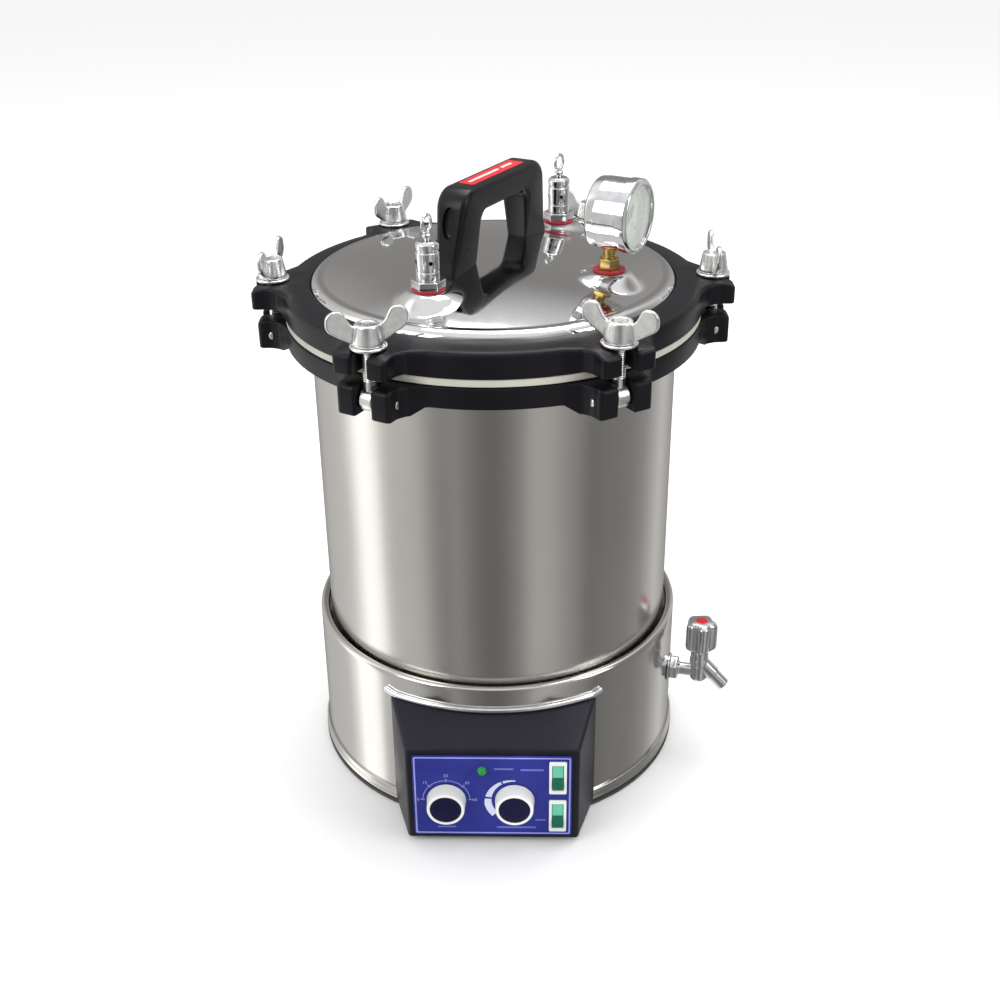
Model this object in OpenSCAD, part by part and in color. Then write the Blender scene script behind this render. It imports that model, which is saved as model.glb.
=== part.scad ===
// Benchtop autoclave: a stainless pot held in an electric base, with a clamped lid.
// Millimetres, +Z up. The origin is on the pot's axis, on the surface the feet stand on.
// The control box faces -Y.

/* [Pot] */
// Outer radius of the pot's wall
pot_r = 143; // [141:0.5:145]
// Thickness of the pot's wall and floor
pot_wall = 2; // [1.5:0.5:3]
// Height of the pot's floor above the bench
pot_floor_z = 100; // [95:1:110]
// Height of the joint face on the pot's flange
joint_z = 389.5; // [385:0.5:395]
// Turn of the pot and lid relative to the control box
pot_turn = 1.9; // [0:0.1:5]

/* [Clamps] */
// Outer radius of both black clamp rings
ring_r = 161.7; // [160:0.1:164]
// Radius of the circle of hinge pins
pin_pcd_r = 170.5; // [170:0.5:172]
// Height of the hinge pins
pin_z = 372; // [371:0.5:373]
// Turn of each wing nut about its bolt, for clamps 1 to 6
nut_turns = [90, 5, 60, 80, 17, -31];

/* [Lid] */
// Height of the lid's dome above the bench
dome_top_z = 434; // [430:0.5:438]
// Radius of the circle that the valves and the gauge stand on
fitting_pcd_r = 98.5; // [95:0.5:100]
// Turn of the carrying handle
handle_turn = 60; // [55:1:65]

/* [Base] */
// Outer radius of the base shell
shell_r = 152; // [150:0.5:154]
// Height of the shell's rolled rim
shell_top_z = 129; // [125:1:132]
// Direction of the drain tap
tap_turn = -13; // [-16:1:-8]

/* [Control box] */
// Half width of the box's front face
front_half_w = 67.3; // [66:0.1:70]
// Half width of the box where it meets the shell
back_half_w = 82; // [80:1:84]
// Distance of the front face from the pot's axis
front_y = 178; // [176:1:180]
// Height of the front face's top edge
front_top_z = 90.4; // [89:0.2:92]
// Height of the box's top edge on the shell
back_top_z = 109; // [107:1:112]

/* [Hidden] */
$fn = 96;

// Round stretches are drawn with this many steps in a quarter turn
arc_steps = 8;
// Gap between surfaces that slide or swing past each other
gap = 0.35;
// Radial gap of a pin or spindle that turns in its hole
running = 0.05;

// Base
foot_h = 4;
foot_in_r = 146;
plate_lip_r = 154.9;
plate_lip_z = 14;
plate_t = 1.5;
shell_t = 1.2;
rim_tube_r = 3.6;
ledge_in_r = 118;
gland_turn = 90;
gland_z = 30;
gland_bore_r = 4;

// Pot flange, gasket and lid flange, with a hair of air over the gasket
flange_r = 158.5;
flange_t = 1.5;
gasket_t = 1.95;
gasket_in_r = 146;
lid_flange_z = joint_z + gasket_t + 0.05;
lid_wall_r = 141;
lid_t = 1.5;
lid_ring_z = lid_flange_z + flange_t;
lid_ring_top_z = 409.7;
lid_ring_inner_z = 411.5;
lid_skirt_r = 159.6;
lid_skirt_z = 390.6;
pot_ring_z = 368;
pot_ring_top_z = 384;
pot_ring_seat_r = 157;

// Clamps: one at each sixth of a turn
clamp_n = 6;
slot_half = 6.5;
ear_half = 22;
slot_in_r = 161;
crown_r = 38;
lug_out_r = 185;
lower_lug_out_r = 182;
lower_lug_z = 361.5;
pin_r = 3.5;
pin_half = 22.6;
eye_r = 8.5;
eye_half = 5.4;
bolt_r = 5;
bolt_top_z = 427;
washer_r = 13;
washer_t = 2;
washer_z = pin_z + crown_r + gap;
nut_z = washer_z + washer_t + 0.1;
nut_h = 15;
nut_base_r = 11;
nut_top_r = 8.8;
wing_t = 3.2;
wing_tip_x = 21.8;
wing_tip_z = 430.4;
wing_tip_r = 8.3;

// Lid dome and fittings
shoulder_z = 413;
boss_top_z = 430;
boss_top_r = 12.5;
boss_base_r = 25;
boss_z = 419.5;
fitting_bore_r = 6.5;
fitting_gasket_t = 1.8;
fitting_z = boss_top_z + fitting_gasket_t;
safety_turn = -117.8;
gauge_turn = -29.8;
release_turn = 56.5;

// Valves
valve_hex_r = 12.6;
valve_hex_h = 6;
valve_r = 8.6;
valve_h = 34;
valve_bore_r = 6.2;
valve_tail = 14;
stem_r = 2.2;
stem_hole_r = 2.7;
stem_disc_r = 5.6;
stem_disc_z = fitting_z + 8;
spring_r = 4.2;
spring_wire_r = 0.6;
spring_turns = 6;
pull_ring_r = 6;
pull_wire_r = 1.2;

// Gauge
gauge_r = 27;
gauge_back = -10;
gauge_front = 23.5;
gauge_z = 473;
gauge_wall = 1.6;
dial_x = 12;
needle_x = 15;
glass_x = 20;

// Handle
handle_top_z = 491;
handle_foot_z = 426.5;
handle_half_t = 12.5;
handle_foot_half_t = 8;

// Control panel
box_floor_z = foot_h;
box_wall = 2.5;
box_steps = 24;
panel_half_w = 62;
panel_low_z = 9;
panel_high_z = 86.4;
panel_t = 1.5;
panel_y = -front_y - panel_t;
timer_x = -36;
temp_x = 17.4;
knob_z = 44;
knob_r = 15.5;
knob_top_r = 14.6;
knob_h = 12.5;
knob_cap_r = 12.2;
knob_cap_t = 2;
spindle_r = 3;
lamp_x = -7.8;
lamp_z = 73;
lamp_r = 3.7;
switch_x = 51;
switch_upper_z = 66.5;
switch_lower_z = 29.3;
frame_half_w = 6.8;
frame_half_h = 15.5;
rocker_half_w = 4.2;
rocker_half_h = 10.6;
rocker_tilt = 9;
rocker_y = panel_y + 3;

// Drain tap
tap_z = 71;
tap_pipe_r = 5.8;
tap_barrel_x = 178;
tap_barrel_r = 7.5;
tap_barrel_low_z = 63.5;
tap_barrel_top_z = 92;
tap_spindle_r = 3;
tap_knob_z = 95;
tap_knob_top_z = 121.5;
spout_r = 5.5;
spout_bore_r = 4;
spout_len = 31;
spout_collar_r = 6.3;
spout_collar_len = 17.5;
spout_tilt = 45;

// Basket and trivet
basket_r = 130;
basket_z = 124;
basket_top_z = 330;
basket_t = 1;
basket_slots = 16;
trivet_r = 134;
trivet_z = 120;
trivet_t = 1.5;

steel = "silver";
black = [0.10, 0.09, 0.12];

// Points on an arc about (x, z), from one angle to another
function arc(x, z, r, from, to, steps = arc_steps) =
    [for (i = [0:steps]) let (a = from + (to - from) * i / steps) [x + r * cos(a), z + r * sin(a)]];

// Height of the lid's dome, outside face, at a distance from the axis
dome_drop = dome_top_z - shoulder_z - 1.5;
dome_r = lid_wall_r - 4;
dome_steps = 14;
function dome_z(r) = dome_top_z - dome_drop * pow(r / dome_r, 2);
dome_points = [for (i = [0:dome_steps]) let (r = dome_r * i / dome_steps) [r, dome_z(r)]];

module on_pot() rotate([0, 0, pot_turn]) children();

module at_clamp(i) on_pot() rotate([0, 0, 360 / clamp_n * (i - 1)]) children();

module at_fitting(turn) on_pot() rotate([0, 0, turn]) translate([fitting_pcd_r, 0, 0]) children();

module at_tap() rotate([0, 0, tap_turn]) children();

// Places a shape drawn along +Z so that it points along -Y, its foot at depth y
module facing_front(x, y, z) translate([x, y, z]) rotate([90, 0, 0]) children();

// Cylinder on a clamp's hinge axis, centred between the ears
module hinge_cylinder(r, half) {
    translate([pin_pcd_r, half, pin_z])
        rotate([90, 0, 0])
            cylinder(r = r, h = 2 * half);
}

// Solid of revolution from an outline of (radius, height) points
module turned(points) rotate_extrude() polygon(points);

// ---------- Base ----------

module base_shell() {
    in_r = shell_r - shell_t;
    floor_z = foot_h + plate_t;
    color(steel) difference() {
        union() {
            turned([[in_r, floor_z], [shell_r, floor_z], [shell_r, shell_top_z - rim_tube_r],
                [in_r, shell_top_z - rim_tube_r]]);
            rotate_extrude()
                translate([shell_r - rim_tube_r, shell_top_z - rim_tube_r])
                    circle(r = rim_tube_r, $fn = 32);
            turned([[ledge_in_r, pot_floor_z - plate_t], [in_r + 0.1, pot_floor_z - plate_t],
                [in_r + 0.1, pot_floor_z], [ledge_in_r, pot_floor_z]]);
        }
        at_tap()
            translate([ledge_in_r + 10, 0, tap_z])
                rotate([0, 90, 0])
                    cylinder(r = tap_pipe_r, h = shell_r);
        rotate([0, 0, gland_turn])
            translate([ledge_in_r + 10, 0, gland_z])
                rotate([0, 90, 0])
                    cylinder(r = 7, h = shell_r);
        translate([-30, -shell_r - 5, 25])
            cube([60, 20, 55]);
    }
}

module base_plate() {
    lip_in = shell_r;
    color(steel) turned([[0, foot_h], [plate_lip_r, foot_h], [plate_lip_r, plate_lip_z],
        [lip_in, plate_lip_z], [lip_in, foot_h + plate_t], [0, foot_h + plate_t]]);
}

// Rubber strip that the base stands on, under the plate's lip
module foot_ring() {
    edge = 0.8;
    color(black) turned([[foot_in_r, 0], [plate_lip_r - edge, 0], [plate_lip_r, edge],
        [plate_lip_r, foot_h], [foot_in_r, foot_h]]);
}

// Ring heater that lies under the pot's floor, on three posts
module heater() {
    color("dimgray") {
        rotate_extrude() translate([95, 90]) circle(r = 5, $fn = 32);
        rotate_extrude() translate([62, 90]) circle(r = 5, $fn = 32);
        turned([[50, 82], [108, 82], [108, 85.5], [50, 85.5]]);
        for (a = [0:120:240])
            rotate([0, 0, a])
                translate([80, 0, foot_h + plate_t])
                    cylinder(r = 4, h = 83 - foot_h - plate_t, $fn = 32);
    }
}

module cable_gland() {
    color(black)
        rotate([0, 0, gland_turn])
            translate([0, 0, gland_z])
                rotate([0, 90, 0])
                    difference() {
                        union() {
                            translate([0, 0, shell_r]) cylinder(r = 9.5, h = 5, $fn = 6);
                            translate([0, 0, shell_r + 5]) cylinder(r = 7.5, h = 6);
                            translate([0, 0, shell_r - 14]) cylinder(r = 7, h = 14);
                        }
                        translate([0, 0, shell_r - 20]) cylinder(r = gland_bore_r, h = 40);
                    }
}

// ---------- Control box ----------

// Points along the box's front edge and along the shell, at one height each
function front_points(half, y, z) =
    [for (i = [0:box_steps]) [-half + 2 * half * i / box_steps, -y, z]];
function back_points(half, r, z) =
    [for (i = [0:box_steps]) let (x = -half + 2 * half * i / box_steps) [x, -sqrt(r * r - x * x), z]];

// Solid between a straight front and the round shell, with a ruled top
module box_form(front_half, back_half, y, r, low_z, front_z, back_z) {
    n = box_steps + 1;
    points = concat(front_points(front_half, y, low_z), front_points(front_half, y, front_z),
        back_points(back_half, r, back_z), back_points(back_half, r, low_z));
    strips = [for (k = [0:3], i = [0:box_steps - 1])
        let (a = k * n + i, b = (k + 1) % 4 * n + i) each [[a, b, b + 1], [a, b + 1, a + 1]]];
    ends = [[3 * n, 2 * n, n, 0], [box_steps, n + box_steps, 2 * n + box_steps, 3 * n + box_steps]];
    polyhedron(points = points, faces = concat(strips, ends), convexity = 4);
}

module control_box() {
    t = box_wall;
    color(black) difference() {
        box_form(front_half_w, back_half_w, front_y, shell_r + 0.1, box_floor_z, front_top_z, back_top_z);
        box_form(front_half_w - t, back_half_w - 2 * t, front_y - t, shell_r - 2,
            box_floor_z + t, front_top_z - t, back_top_z - t);
        translate([-panel_half_w + 4, -front_y - 1, panel_low_z + 3])
            cube([2 * panel_half_w - 8, t + 2, panel_high_z - panel_low_z - 6]);
        rotate_extrude()
            translate([0, -1])
                square([plate_lip_r, plate_lip_z + 1]);
    }
}

module switch_cut(z, extra) {
    translate([switch_x - frame_half_w + extra, panel_y - 10, z - frame_half_h + extra])
        cube([2 * (frame_half_w - extra), 20, 2 * (frame_half_h - extra)]);
}

module front_panel() {
    color([0.18, 0.20, 0.55]) difference() {
        translate([-panel_half_w, panel_y, panel_low_z])
            cube([2 * panel_half_w, panel_t, panel_high_z - panel_low_z]);
        for (x = [timer_x, temp_x])
            facing_front(x, panel_y + 5, knob_z) cylinder(r = 5, h = 10);
        facing_front(lamp_x, panel_y + 5, lamp_z) cylinder(r = lamp_r - 0.7, h = 10);
        for (z = [switch_upper_z, switch_lower_z])
            switch_cut(z, 1);
    }
}

module panel_lamp() {
    color("green") facing_front(lamp_x, panel_y, lamp_z) {
        translate([0, 0, -8]) cylinder(r = lamp_r - 0.7, h = 8);
        cylinder(r = lamp_r, h = 1);
        translate([0, 0, 1])
            rotate_extrude()
                intersection() {
                    circle(r = lamp_r - 0.4);
                    square([lamp_r, lamp_r]);
                }
    }
}

// Body of a rotary control behind the panel, with a bored bush for its spindle
module rotary_unit(x, w, h, d) {
    color("gray") difference() {
        union() {
            translate([x - w / 2, panel_y + panel_t, knob_z - h / 2]) cube([w, d, h]);
            facing_front(x, panel_y + panel_t, knob_z) cylinder(r = 5, h = panel_t);
        }
        facing_front(x, panel_y + panel_t + d + 1, knob_z)
            cylinder(r = spindle_r + running, h = d + 10);
    }
}

module timer_unit() rotary_unit(timer_x, 34, 38, 22);

module thermostat_unit() rotary_unit(temp_x, 30, 34, 18);

module knob(x) {
    color("ivory") facing_front(x, panel_y - gap, knob_z) {
        difference() {
            cylinder(r1 = knob_r, r2 = knob_top_r, h = knob_h);
            translate([0, 0, knob_h - knob_cap_t]) cylinder(r = knob_cap_r, h = knob_cap_t + 1);
        }
        translate([0, 0, -14]) cylinder(r = spindle_r, h = 15);
    }
}

module knob_cap(x) {
    color([0.08, 0.08, 0.22])
        facing_front(x, panel_y - gap - knob_h + knob_cap_t, knob_z)
            cylinder(r = knob_cap_r, h = knob_cap_t + 0.3);
}

module switch_frame(z) {
    depth = 14;
    difference() {
        union() {
            translate([switch_x - frame_half_w, panel_y - 1.5, z - frame_half_h])
                cube([2 * frame_half_w, 1.5, 2 * frame_half_h]);
            translate([switch_x - frame_half_w + 1, panel_y, z - frame_half_h + 1])
                cube([2 * frame_half_w - 2, depth, 2 * frame_half_h - 2]);
        }
        translate([switch_x - rocker_half_w - gap, panel_y - 3, z - rocker_half_h - 1.3])
            cube([2 * (rocker_half_w + gap), depth + 1, 2 * (rocker_half_h + 1.3)]);
        translate([switch_x - rocker_half_w - 1, rocker_y, z])
            rotate([0, 90, 0])
                cylinder(r = 1 + running, h = 2 * rocker_half_w + 2);
    }
}

module switch_frames() {
    color("white") {
        switch_frame(switch_upper_z);
        switch_frame(switch_lower_z);
    }
}

// Rocker with a shallow V face, tipped so that its upper half is pressed in
module rocker(z) {
    color("mediumseagreen")
        translate([switch_x, rocker_y, z])
            rotate([-rocker_tilt, 0, 0]) {
                translate([-rocker_half_w, 0, 0])
                    rotate([90, 0, 90])
                        linear_extrude(height = 2 * rocker_half_w)
                            polygon([[-5.4, -rocker_half_h], [-4.2, 0], [-5.4, rocker_half_h],
                                [-2, rocker_half_h], [4, 3], [4, -3], [-2, -rocker_half_h]]);
                translate([-rocker_half_w - 0.8, 0, 0])
                    rotate([0, 90, 0])
                        cylinder(r = 1, h = 2 * rocker_half_w + 1.6);
            }
}

// ---------- Drain tap ----------

module tap_nut() {
    color(steel) at_tap()
        translate([shell_r, 0, tap_z])
            rotate([0, 90, 0])
                difference() {
                    union() {
                        cylinder(r = 12, h = 1.5);
                        translate([0, 0, 1.5]) cylinder(r = 10.5, h = 6.5, $fn = 6);
                    }
                    translate([0, 0, -1]) cylinder(r = tap_pipe_r, h = 12);
                }
}

module spout_place() {
    translate([tap_barrel_x, 0, tap_z + 11])
        rotate([0, 90 + spout_tilt, 0])
            children();
}

module tap_body() {
    color(steel) at_tap() difference() {
        union() {
            translate([ledge_in_r, 0, tap_z])
                rotate([0, 90, 0])
                    cylinder(r = tap_pipe_r, h = tap_barrel_x - ledge_in_r);
            translate([tap_barrel_x, 0, tap_barrel_low_z])
                cylinder(r = tap_barrel_r, h = tap_barrel_top_z - tap_barrel_low_z);
            spout_place() cylinder(r = spout_r, h = spout_len);
            spout_place() cylinder(r = spout_collar_r, h = spout_collar_len);
        }
        spout_place() cylinder(r = spout_bore_r, h = spout_len + 1);
        translate([ledge_in_r - 1, 0, tap_z])
            rotate([0, 90, 0])
                cylinder(r = tap_pipe_r - 2, h = tap_barrel_x - ledge_in_r);
        translate([tap_barrel_x, 0, tap_z])
            cylinder(r = tap_spindle_r + running, h = 40);
    }
}

// Lobed knob with its spindle
module tap_knob() {
    lobes = 5;
    h = tap_knob_top_z - tap_knob_z;
    color(steel) at_tap() translate([tap_barrel_x, 0, 0]) {
        translate([0, 0, tap_knob_z]) {
            linear_extrude(height = h - 3) {
                circle(r = 10.2);
                for (i = [0:lobes - 1])
                    rotate([0, 0, 360 / lobes * i])
                        translate([9.2, 0])
                            circle(r = 4.6, $fn = 32);
            }
            translate([0, 0, h - 3]) cylinder(r1 = 10.2, r2 = 8.5, h = 3);
            translate([0, 0, -2.5]) cylinder(r1 = 7, r2 = 10.2, h = 2.5);
        }
        translate([0, 0, tap_z + 4]) cylinder(r = tap_spindle_r, h = tap_knob_z - tap_z - 4);
    }
}

// Pipe from the middle of the pot's floor to the tap
module drain_pipe() {
    color(steel) at_tap() {
        translate([0, 0, tap_z - 5.8])
            difference() {
                cylinder(r = 9, h = pot_floor_z - tap_z + 5.8);
                translate([0, 0, 2]) cylinder(r = 6, h = 60);
            }
        translate([8.5, 0, tap_z])
            rotate([0, 90, 0])
                difference() {
                    cylinder(r = 4.5, h = ledge_in_r - 8.5);
                    translate([0, 0, -1]) cylinder(r = 3, h = ledge_in_r);
                }
    }
}

// ---------- Pot ----------

module pot() {
    in_r = pot_r - pot_wall;
    top = joint_z;
    color(steel) turned([[0, pot_floor_z], [pot_r - 6, pot_floor_z], [pot_r, pot_floor_z + 6],
        [pot_r, top - flange_t], [flange_r, top - flange_t], [flange_r, top], [in_r, top],
        [in_r, pot_floor_z + 7], [in_r - 5, pot_floor_z + pot_wall], [0, pot_floor_z + pot_wall]]);
}

// Plan outline of a lug: its sides flare into the ring
function lug_plan(out_r) = [[150, -31], [160.5, -29.5], [167, -ear_half - 1.5], [172, -ear_half],
    [out_r, -ear_half], [out_r, ear_half], [172, ear_half], [167, ear_half + 1.5],
    [160.5, 29.5], [150, 31]];

module slot_cut(low_z, high_z) {
    translate([slot_in_r, -slot_half, low_z])
        cube([40, 2 * slot_half, high_z - low_z]);
    hinge_cylinder(eye_r + 0.7, slot_half);
}

module lower_lug() {
    top = pot_ring_top_z - 0.5;
    chamfer = 5;
    intersection() {
        translate([0, 0, lower_lug_z])
            linear_extrude(height = top - lower_lug_z)
                polygon(lug_plan(lower_lug_out_r));
        translate([0, 40, 0])
            rotate([90, 0, 0])
                linear_extrude(height = 80)
                    polygon([[140, pot_ring_z - 1], [164, lower_lug_z], [lower_lug_out_r - 2, lower_lug_z],
                        [lower_lug_out_r, lower_lug_z + 2], [lower_lug_out_r, top - chamfer],
                        [lower_lug_out_r - chamfer, top], [140, top]]);
    }
}

module pot_ring() {
    color(black) difference() {
        union() {
            turned([[pot_r, pot_ring_z], [ring_r - 2, pot_ring_z], [ring_r, pot_ring_z + 2],
                [ring_r, pot_ring_top_z], [pot_ring_seat_r, pot_ring_top_z],
                [pot_ring_seat_r, joint_z - flange_t], [pot_r, joint_z - flange_t]]);
            for (i = [1:clamp_n]) at_clamp(i) lower_lug();
        }
        cylinder(r = pot_r, h = 500);
        for (i = [1:clamp_n])
            at_clamp(i) {
                slot_cut(lower_lug_z - 1, joint_z - flange_t - 1);
                hinge_cylinder(pin_r, 40);
            }
    }
}

module lid_gasket() {
    color("ivory") turned([[gasket_in_r, joint_z], [flange_r + 0.8, joint_z],
        [flange_r + 0.8, joint_z + gasket_t], [gasket_in_r, joint_z + gasket_t]]);
}

module hinge_pins() {
    color(steel)
        for (i = [1:clamp_n]) at_clamp(i) hinge_cylinder(pin_r, pin_half);
}

// ---------- Clamps ----------

module eye_bolt(i) {
    color(steel) at_clamp(i) difference() {
        union() {
            hinge_cylinder(eye_r, eye_half);
            translate([pin_pcd_r, 0, pin_z + pin_r + 1])
                cylinder(r = bolt_r, h = bolt_top_z - 1 - pin_z - pin_r - 1);
            translate([pin_pcd_r, 0, bolt_top_z - 1])
                cylinder(r1 = bolt_r, r2 = bolt_r - 1, h = 1);
        }
        hinge_cylinder(pin_r + running, 20);
    }
}

module washer(i) {
    color(steel) at_clamp(i)
        translate([pin_pcd_r, 0, washer_z])
            difference() {
                cylinder(r = washer_r, h = washer_t);
                translate([0, 0, -1]) cylinder(r = bolt_r + gap, h = washer_t + 2);
            }
}

// One wing of a nut, drawn in the plane through the nut's axis
module wing() {
    translate([0, wing_t / 2, 0])
        rotate([90, 0, 0])
            linear_extrude(height = wing_t) {
                polygon([[7, nut_z + 1], [11.5, nut_z + 0.6], [28.3, wing_tip_z - 5.2],
                    [14.9, wing_tip_z + 4.6], [7, nut_z + nut_h - 3]]);
                translate([wing_tip_x, wing_tip_z]) circle(r = wing_tip_r, $fn = 48);
            }
}

module wing_nut(i) {
    color(steel) at_clamp(i)
        translate([pin_pcd_r, 0, 0])
            rotate([0, 0, nut_turns[i - 1] - 360 / clamp_n * (i - 1)])
                difference() {
                    union() {
                        translate([0, 0, nut_z]) cylinder(r1 = nut_base_r, r2 = nut_top_r, h = nut_h);
                        wing();
                        rotate([0, 0, 180]) wing();
                    }
                    translate([0, 0, nut_z - 1]) cylinder(r = bolt_r + gap, h = nut_h + 2);
                }
}

// ---------- Lid ----------

module lid() {
    top = dome_z(dome_r);
    color(steel) on_pot() difference() {
        union() {
            turned(concat(dome_points,
                [[lid_wall_r - 1.2, top - 1.4], [lid_wall_r, top - 4], [lid_wall_r, lid_flange_z + flange_t],
                    [flange_r, lid_flange_z + flange_t], [flange_r, lid_flange_z],
                    [lid_wall_r - lid_t, lid_flange_z], [lid_wall_r - lid_t, top - 5]],
                [for (i = [dome_steps:-1:0]) [dome_points[i][0], dome_points[i][1] - lid_t]]));
            for (turn = [safety_turn, gauge_turn, release_turn])
                rotate([0, 0, turn])
                    translate([fitting_pcd_r, 0, boss_z])
                        cylinder(r1 = boss_base_r, r2 = boss_top_r, h = boss_top_z - boss_z);
        }
        for (turn = [safety_turn, gauge_turn, release_turn])
            rotate([0, 0, turn])
                translate([fitting_pcd_r, 0, 380])
                    cylinder(r = fitting_bore_r, h = 60);
    }
}

module upper_lug() {
    intersection() {
        translate([0, 0, lid_ring_z])
            linear_extrude(height = 40)
                polygon(lug_plan(lug_out_r));
        hinge_cylinder(crown_r, 40);
    }
}

module lid_ring() {
    edge = 5;
    color(black) difference() {
        union() {
            turned(concat([[lid_wall_r, lid_ring_z], [lid_skirt_r, lid_ring_z], [lid_skirt_r, lid_skirt_z],
                [ring_r, lid_skirt_z]],
                arc(ring_r - edge, lid_ring_top_z - edge, edge, 0, 75),
                [[lid_wall_r + 1.5, lid_ring_inner_z], [lid_wall_r, lid_ring_inner_z - 1.5]]));
            for (i = [1:clamp_n]) at_clamp(i) upper_lug();
        }
        for (i = [1:clamp_n])
            at_clamp(i) {
                translate([slot_in_r + 2 + slot_half, -slot_half, lid_ring_z - 1])
                    cube([40, 2 * slot_half, 40]);
                translate([slot_in_r + 2 + slot_half, 0, lid_ring_z - 1])
                    cylinder(r = slot_half, h = 40);
            }
    }
}

// Side view of the handle: broad feet, leaning legs and a rounded grip
module handle_side() {
    foot = 72;
    top = 50;
    corner = 13;
    z1 = handle_top_z - corner;
    difference() {
        polygon(concat(
            [[foot, handle_foot_z], [foot - 3, handle_foot_z + 12]],
            arc(top - corner + 8, z1, corner, 10, 90),
            arc(-(top - corner + 8), z1, corner, 90, 170),
            [[-foot + 3, handle_foot_z + 12], [-foot, handle_foot_z]]));
        polygon(concat(
            [[38, handle_foot_z - 1], [37, handle_foot_z + 10]],
            arc(25, handle_top_z - 29, 9, 0, 90),
            arc(-25, handle_top_z - 29, 9, 90, 180),
            [[-37, handle_foot_z + 10], [-38, handle_foot_z - 1]]));
    }
}

module handle() {
    taper = atan((handle_half_t - handle_foot_half_t) / 40);
    color(black) on_pot() rotate([0, 0, handle_turn]) difference() {
        translate([0, handle_half_t, 0])
            rotate([90, 0, 0])
                linear_extrude(height = 2 * handle_half_t)
                    handle_side();
        for (side = [0, 180])
            rotate([0, 0, side]) {
                translate([-100, handle_foot_half_t, handle_foot_z - 1])
                    rotate([-taper, 0, 0])
                        translate([0, 0, -20])
                            cube([200, 30, 62]);
                translate([66, 0, handle_foot_z + 40])
                    rotate([0, 70, 0])
                        cylinder(r = 5, h = 20, center = true, $fn = 32);
            }
        turned(concat([[0, 400], [dome_r, 400]], [for (i = [dome_steps:-1:0]) dome_points[i]]));
    }
}

module fitting_gaskets() {
    color("firebrick")
        for (turn = [safety_turn, gauge_turn, release_turn])
            at_fitting(turn)
                translate([0, 0, boss_top_z])
                    difference() {
                        cylinder(r = 12, h = fitting_gasket_t);
                        translate([0, 0, -1]) cylinder(r = fitting_bore_r, h = fitting_gasket_t + 2);
                    }
}

// ---------- Valves ----------

// Body with a hexagon foot, a drilled barrel and a threaded tail through the lid
module valve_body(turn) {
    inside_z = stem_disc_z - 3;
    top_z = fitting_z + valve_h;
    color("gainsboro") at_fitting(turn) difference() {
        union() {
            translate([0, 0, fitting_z]) cylinder(r = valve_hex_r, h = valve_hex_h, $fn = 6);
            translate([0, 0, fitting_z]) cylinder(r = valve_r, h = valve_h - 2);
            translate([0, 0, top_z - 2]) cylinder(r1 = valve_r, r2 = valve_r - 1.5, h = 2);
            translate([0, 0, fitting_z - valve_tail]) cylinder(r = fitting_bore_r, h = valve_tail + 1);
        }
        translate([0, 0, fitting_z - valve_tail - 1]) cylinder(r = 3, h = 40);
        translate([0, 0, inside_z]) cylinder(r = valve_bore_r, h = top_z - 3 - inside_z);
        translate([0, 0, inside_z]) cylinder(r = stem_hole_r, h = 60);
        for (a = [0, 90])
            translate([0, 0, fitting_z + 17])
                rotate([90, 0, a])
                    cylinder(r = 1.6, h = 40, center = true, $fn = 24);
    }
}

// Sealing disc, stem and pull ring, which lift together
module valve_stem(turn) {
    top_z = fitting_z + valve_h + 6;
    color("gainsboro") at_fitting(turn) {
        translate([0, 0, stem_disc_z - 2.9]) cylinder(r = stem_disc_r, h = 2.4);
        translate([0, 0, stem_disc_z - 2.9]) cylinder(r = stem_r, h = top_z - stem_disc_z + 2.9);
        translate([0, 0, top_z + pull_ring_r])
            rotate([90, 0, 0])
                rotate_extrude()
                    translate([pull_ring_r, 0])
                        circle(r = pull_wire_r, $fn = 24);
    }
}

// One ring of wire section at a place along the spring
function spring_ring(a, z, sides) = [for (k = [0:sides - 1])
    let (b = 360 * k / sides, r = spring_r + spring_wire_r * cos(b))
    [r * cos(a), r * sin(a), z + spring_wire_r * sin(b)]];

module valve_spring(turn) {
    sides = 8;
    per_turn = 14;
    rings = spring_turns * per_turn;
    low_z = stem_disc_z + spring_wire_r - 0.4;
    high_z = fitting_z + valve_h - 3.1 - spring_wire_r;
    points = [for (i = [0:rings])
        each spring_ring(360 * i / per_turn, low_z + (high_z - low_z) * i / rings, sides)];
    walls = [for (i = [0:rings - 1], k = [0:sides - 1])
        let (a = i * sides + k, b = i * sides + (k + 1) % sides)
        each [[a, a + sides, b], [b, a + sides, b + sides]]];
    ends = [[for (k = [0:sides - 1]) k], [for (k = [sides - 1:-1:0]) rings * sides + k]];
    color("darkgray") at_fitting(turn) polyhedron(points = points, faces = concat(walls, ends));
}

// ---------- Pressure gauge ----------

// Places a shape drawn along +Z on the gauge's axis, which points outwards
module on_gauge(x) at_fitting(gauge_turn) translate([x, 0, gauge_z]) rotate([0, 90, 0]) children();

module gauge_fitting() {
    color("goldenrod") at_fitting(gauge_turn) difference() {
        union() {
            translate([0, 0, fitting_z - valve_tail]) cylinder(r = fitting_bore_r, h = valve_tail);
            translate([0, 0, fitting_z]) cylinder(r = 8.2, h = 8, $fn = 6);
            translate([0, 0, fitting_z + 8]) cylinder(r = 5, h = 9);
        }
        translate([0, 0, 400]) cylinder(r = 2, h = 80);
    }
}

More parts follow.
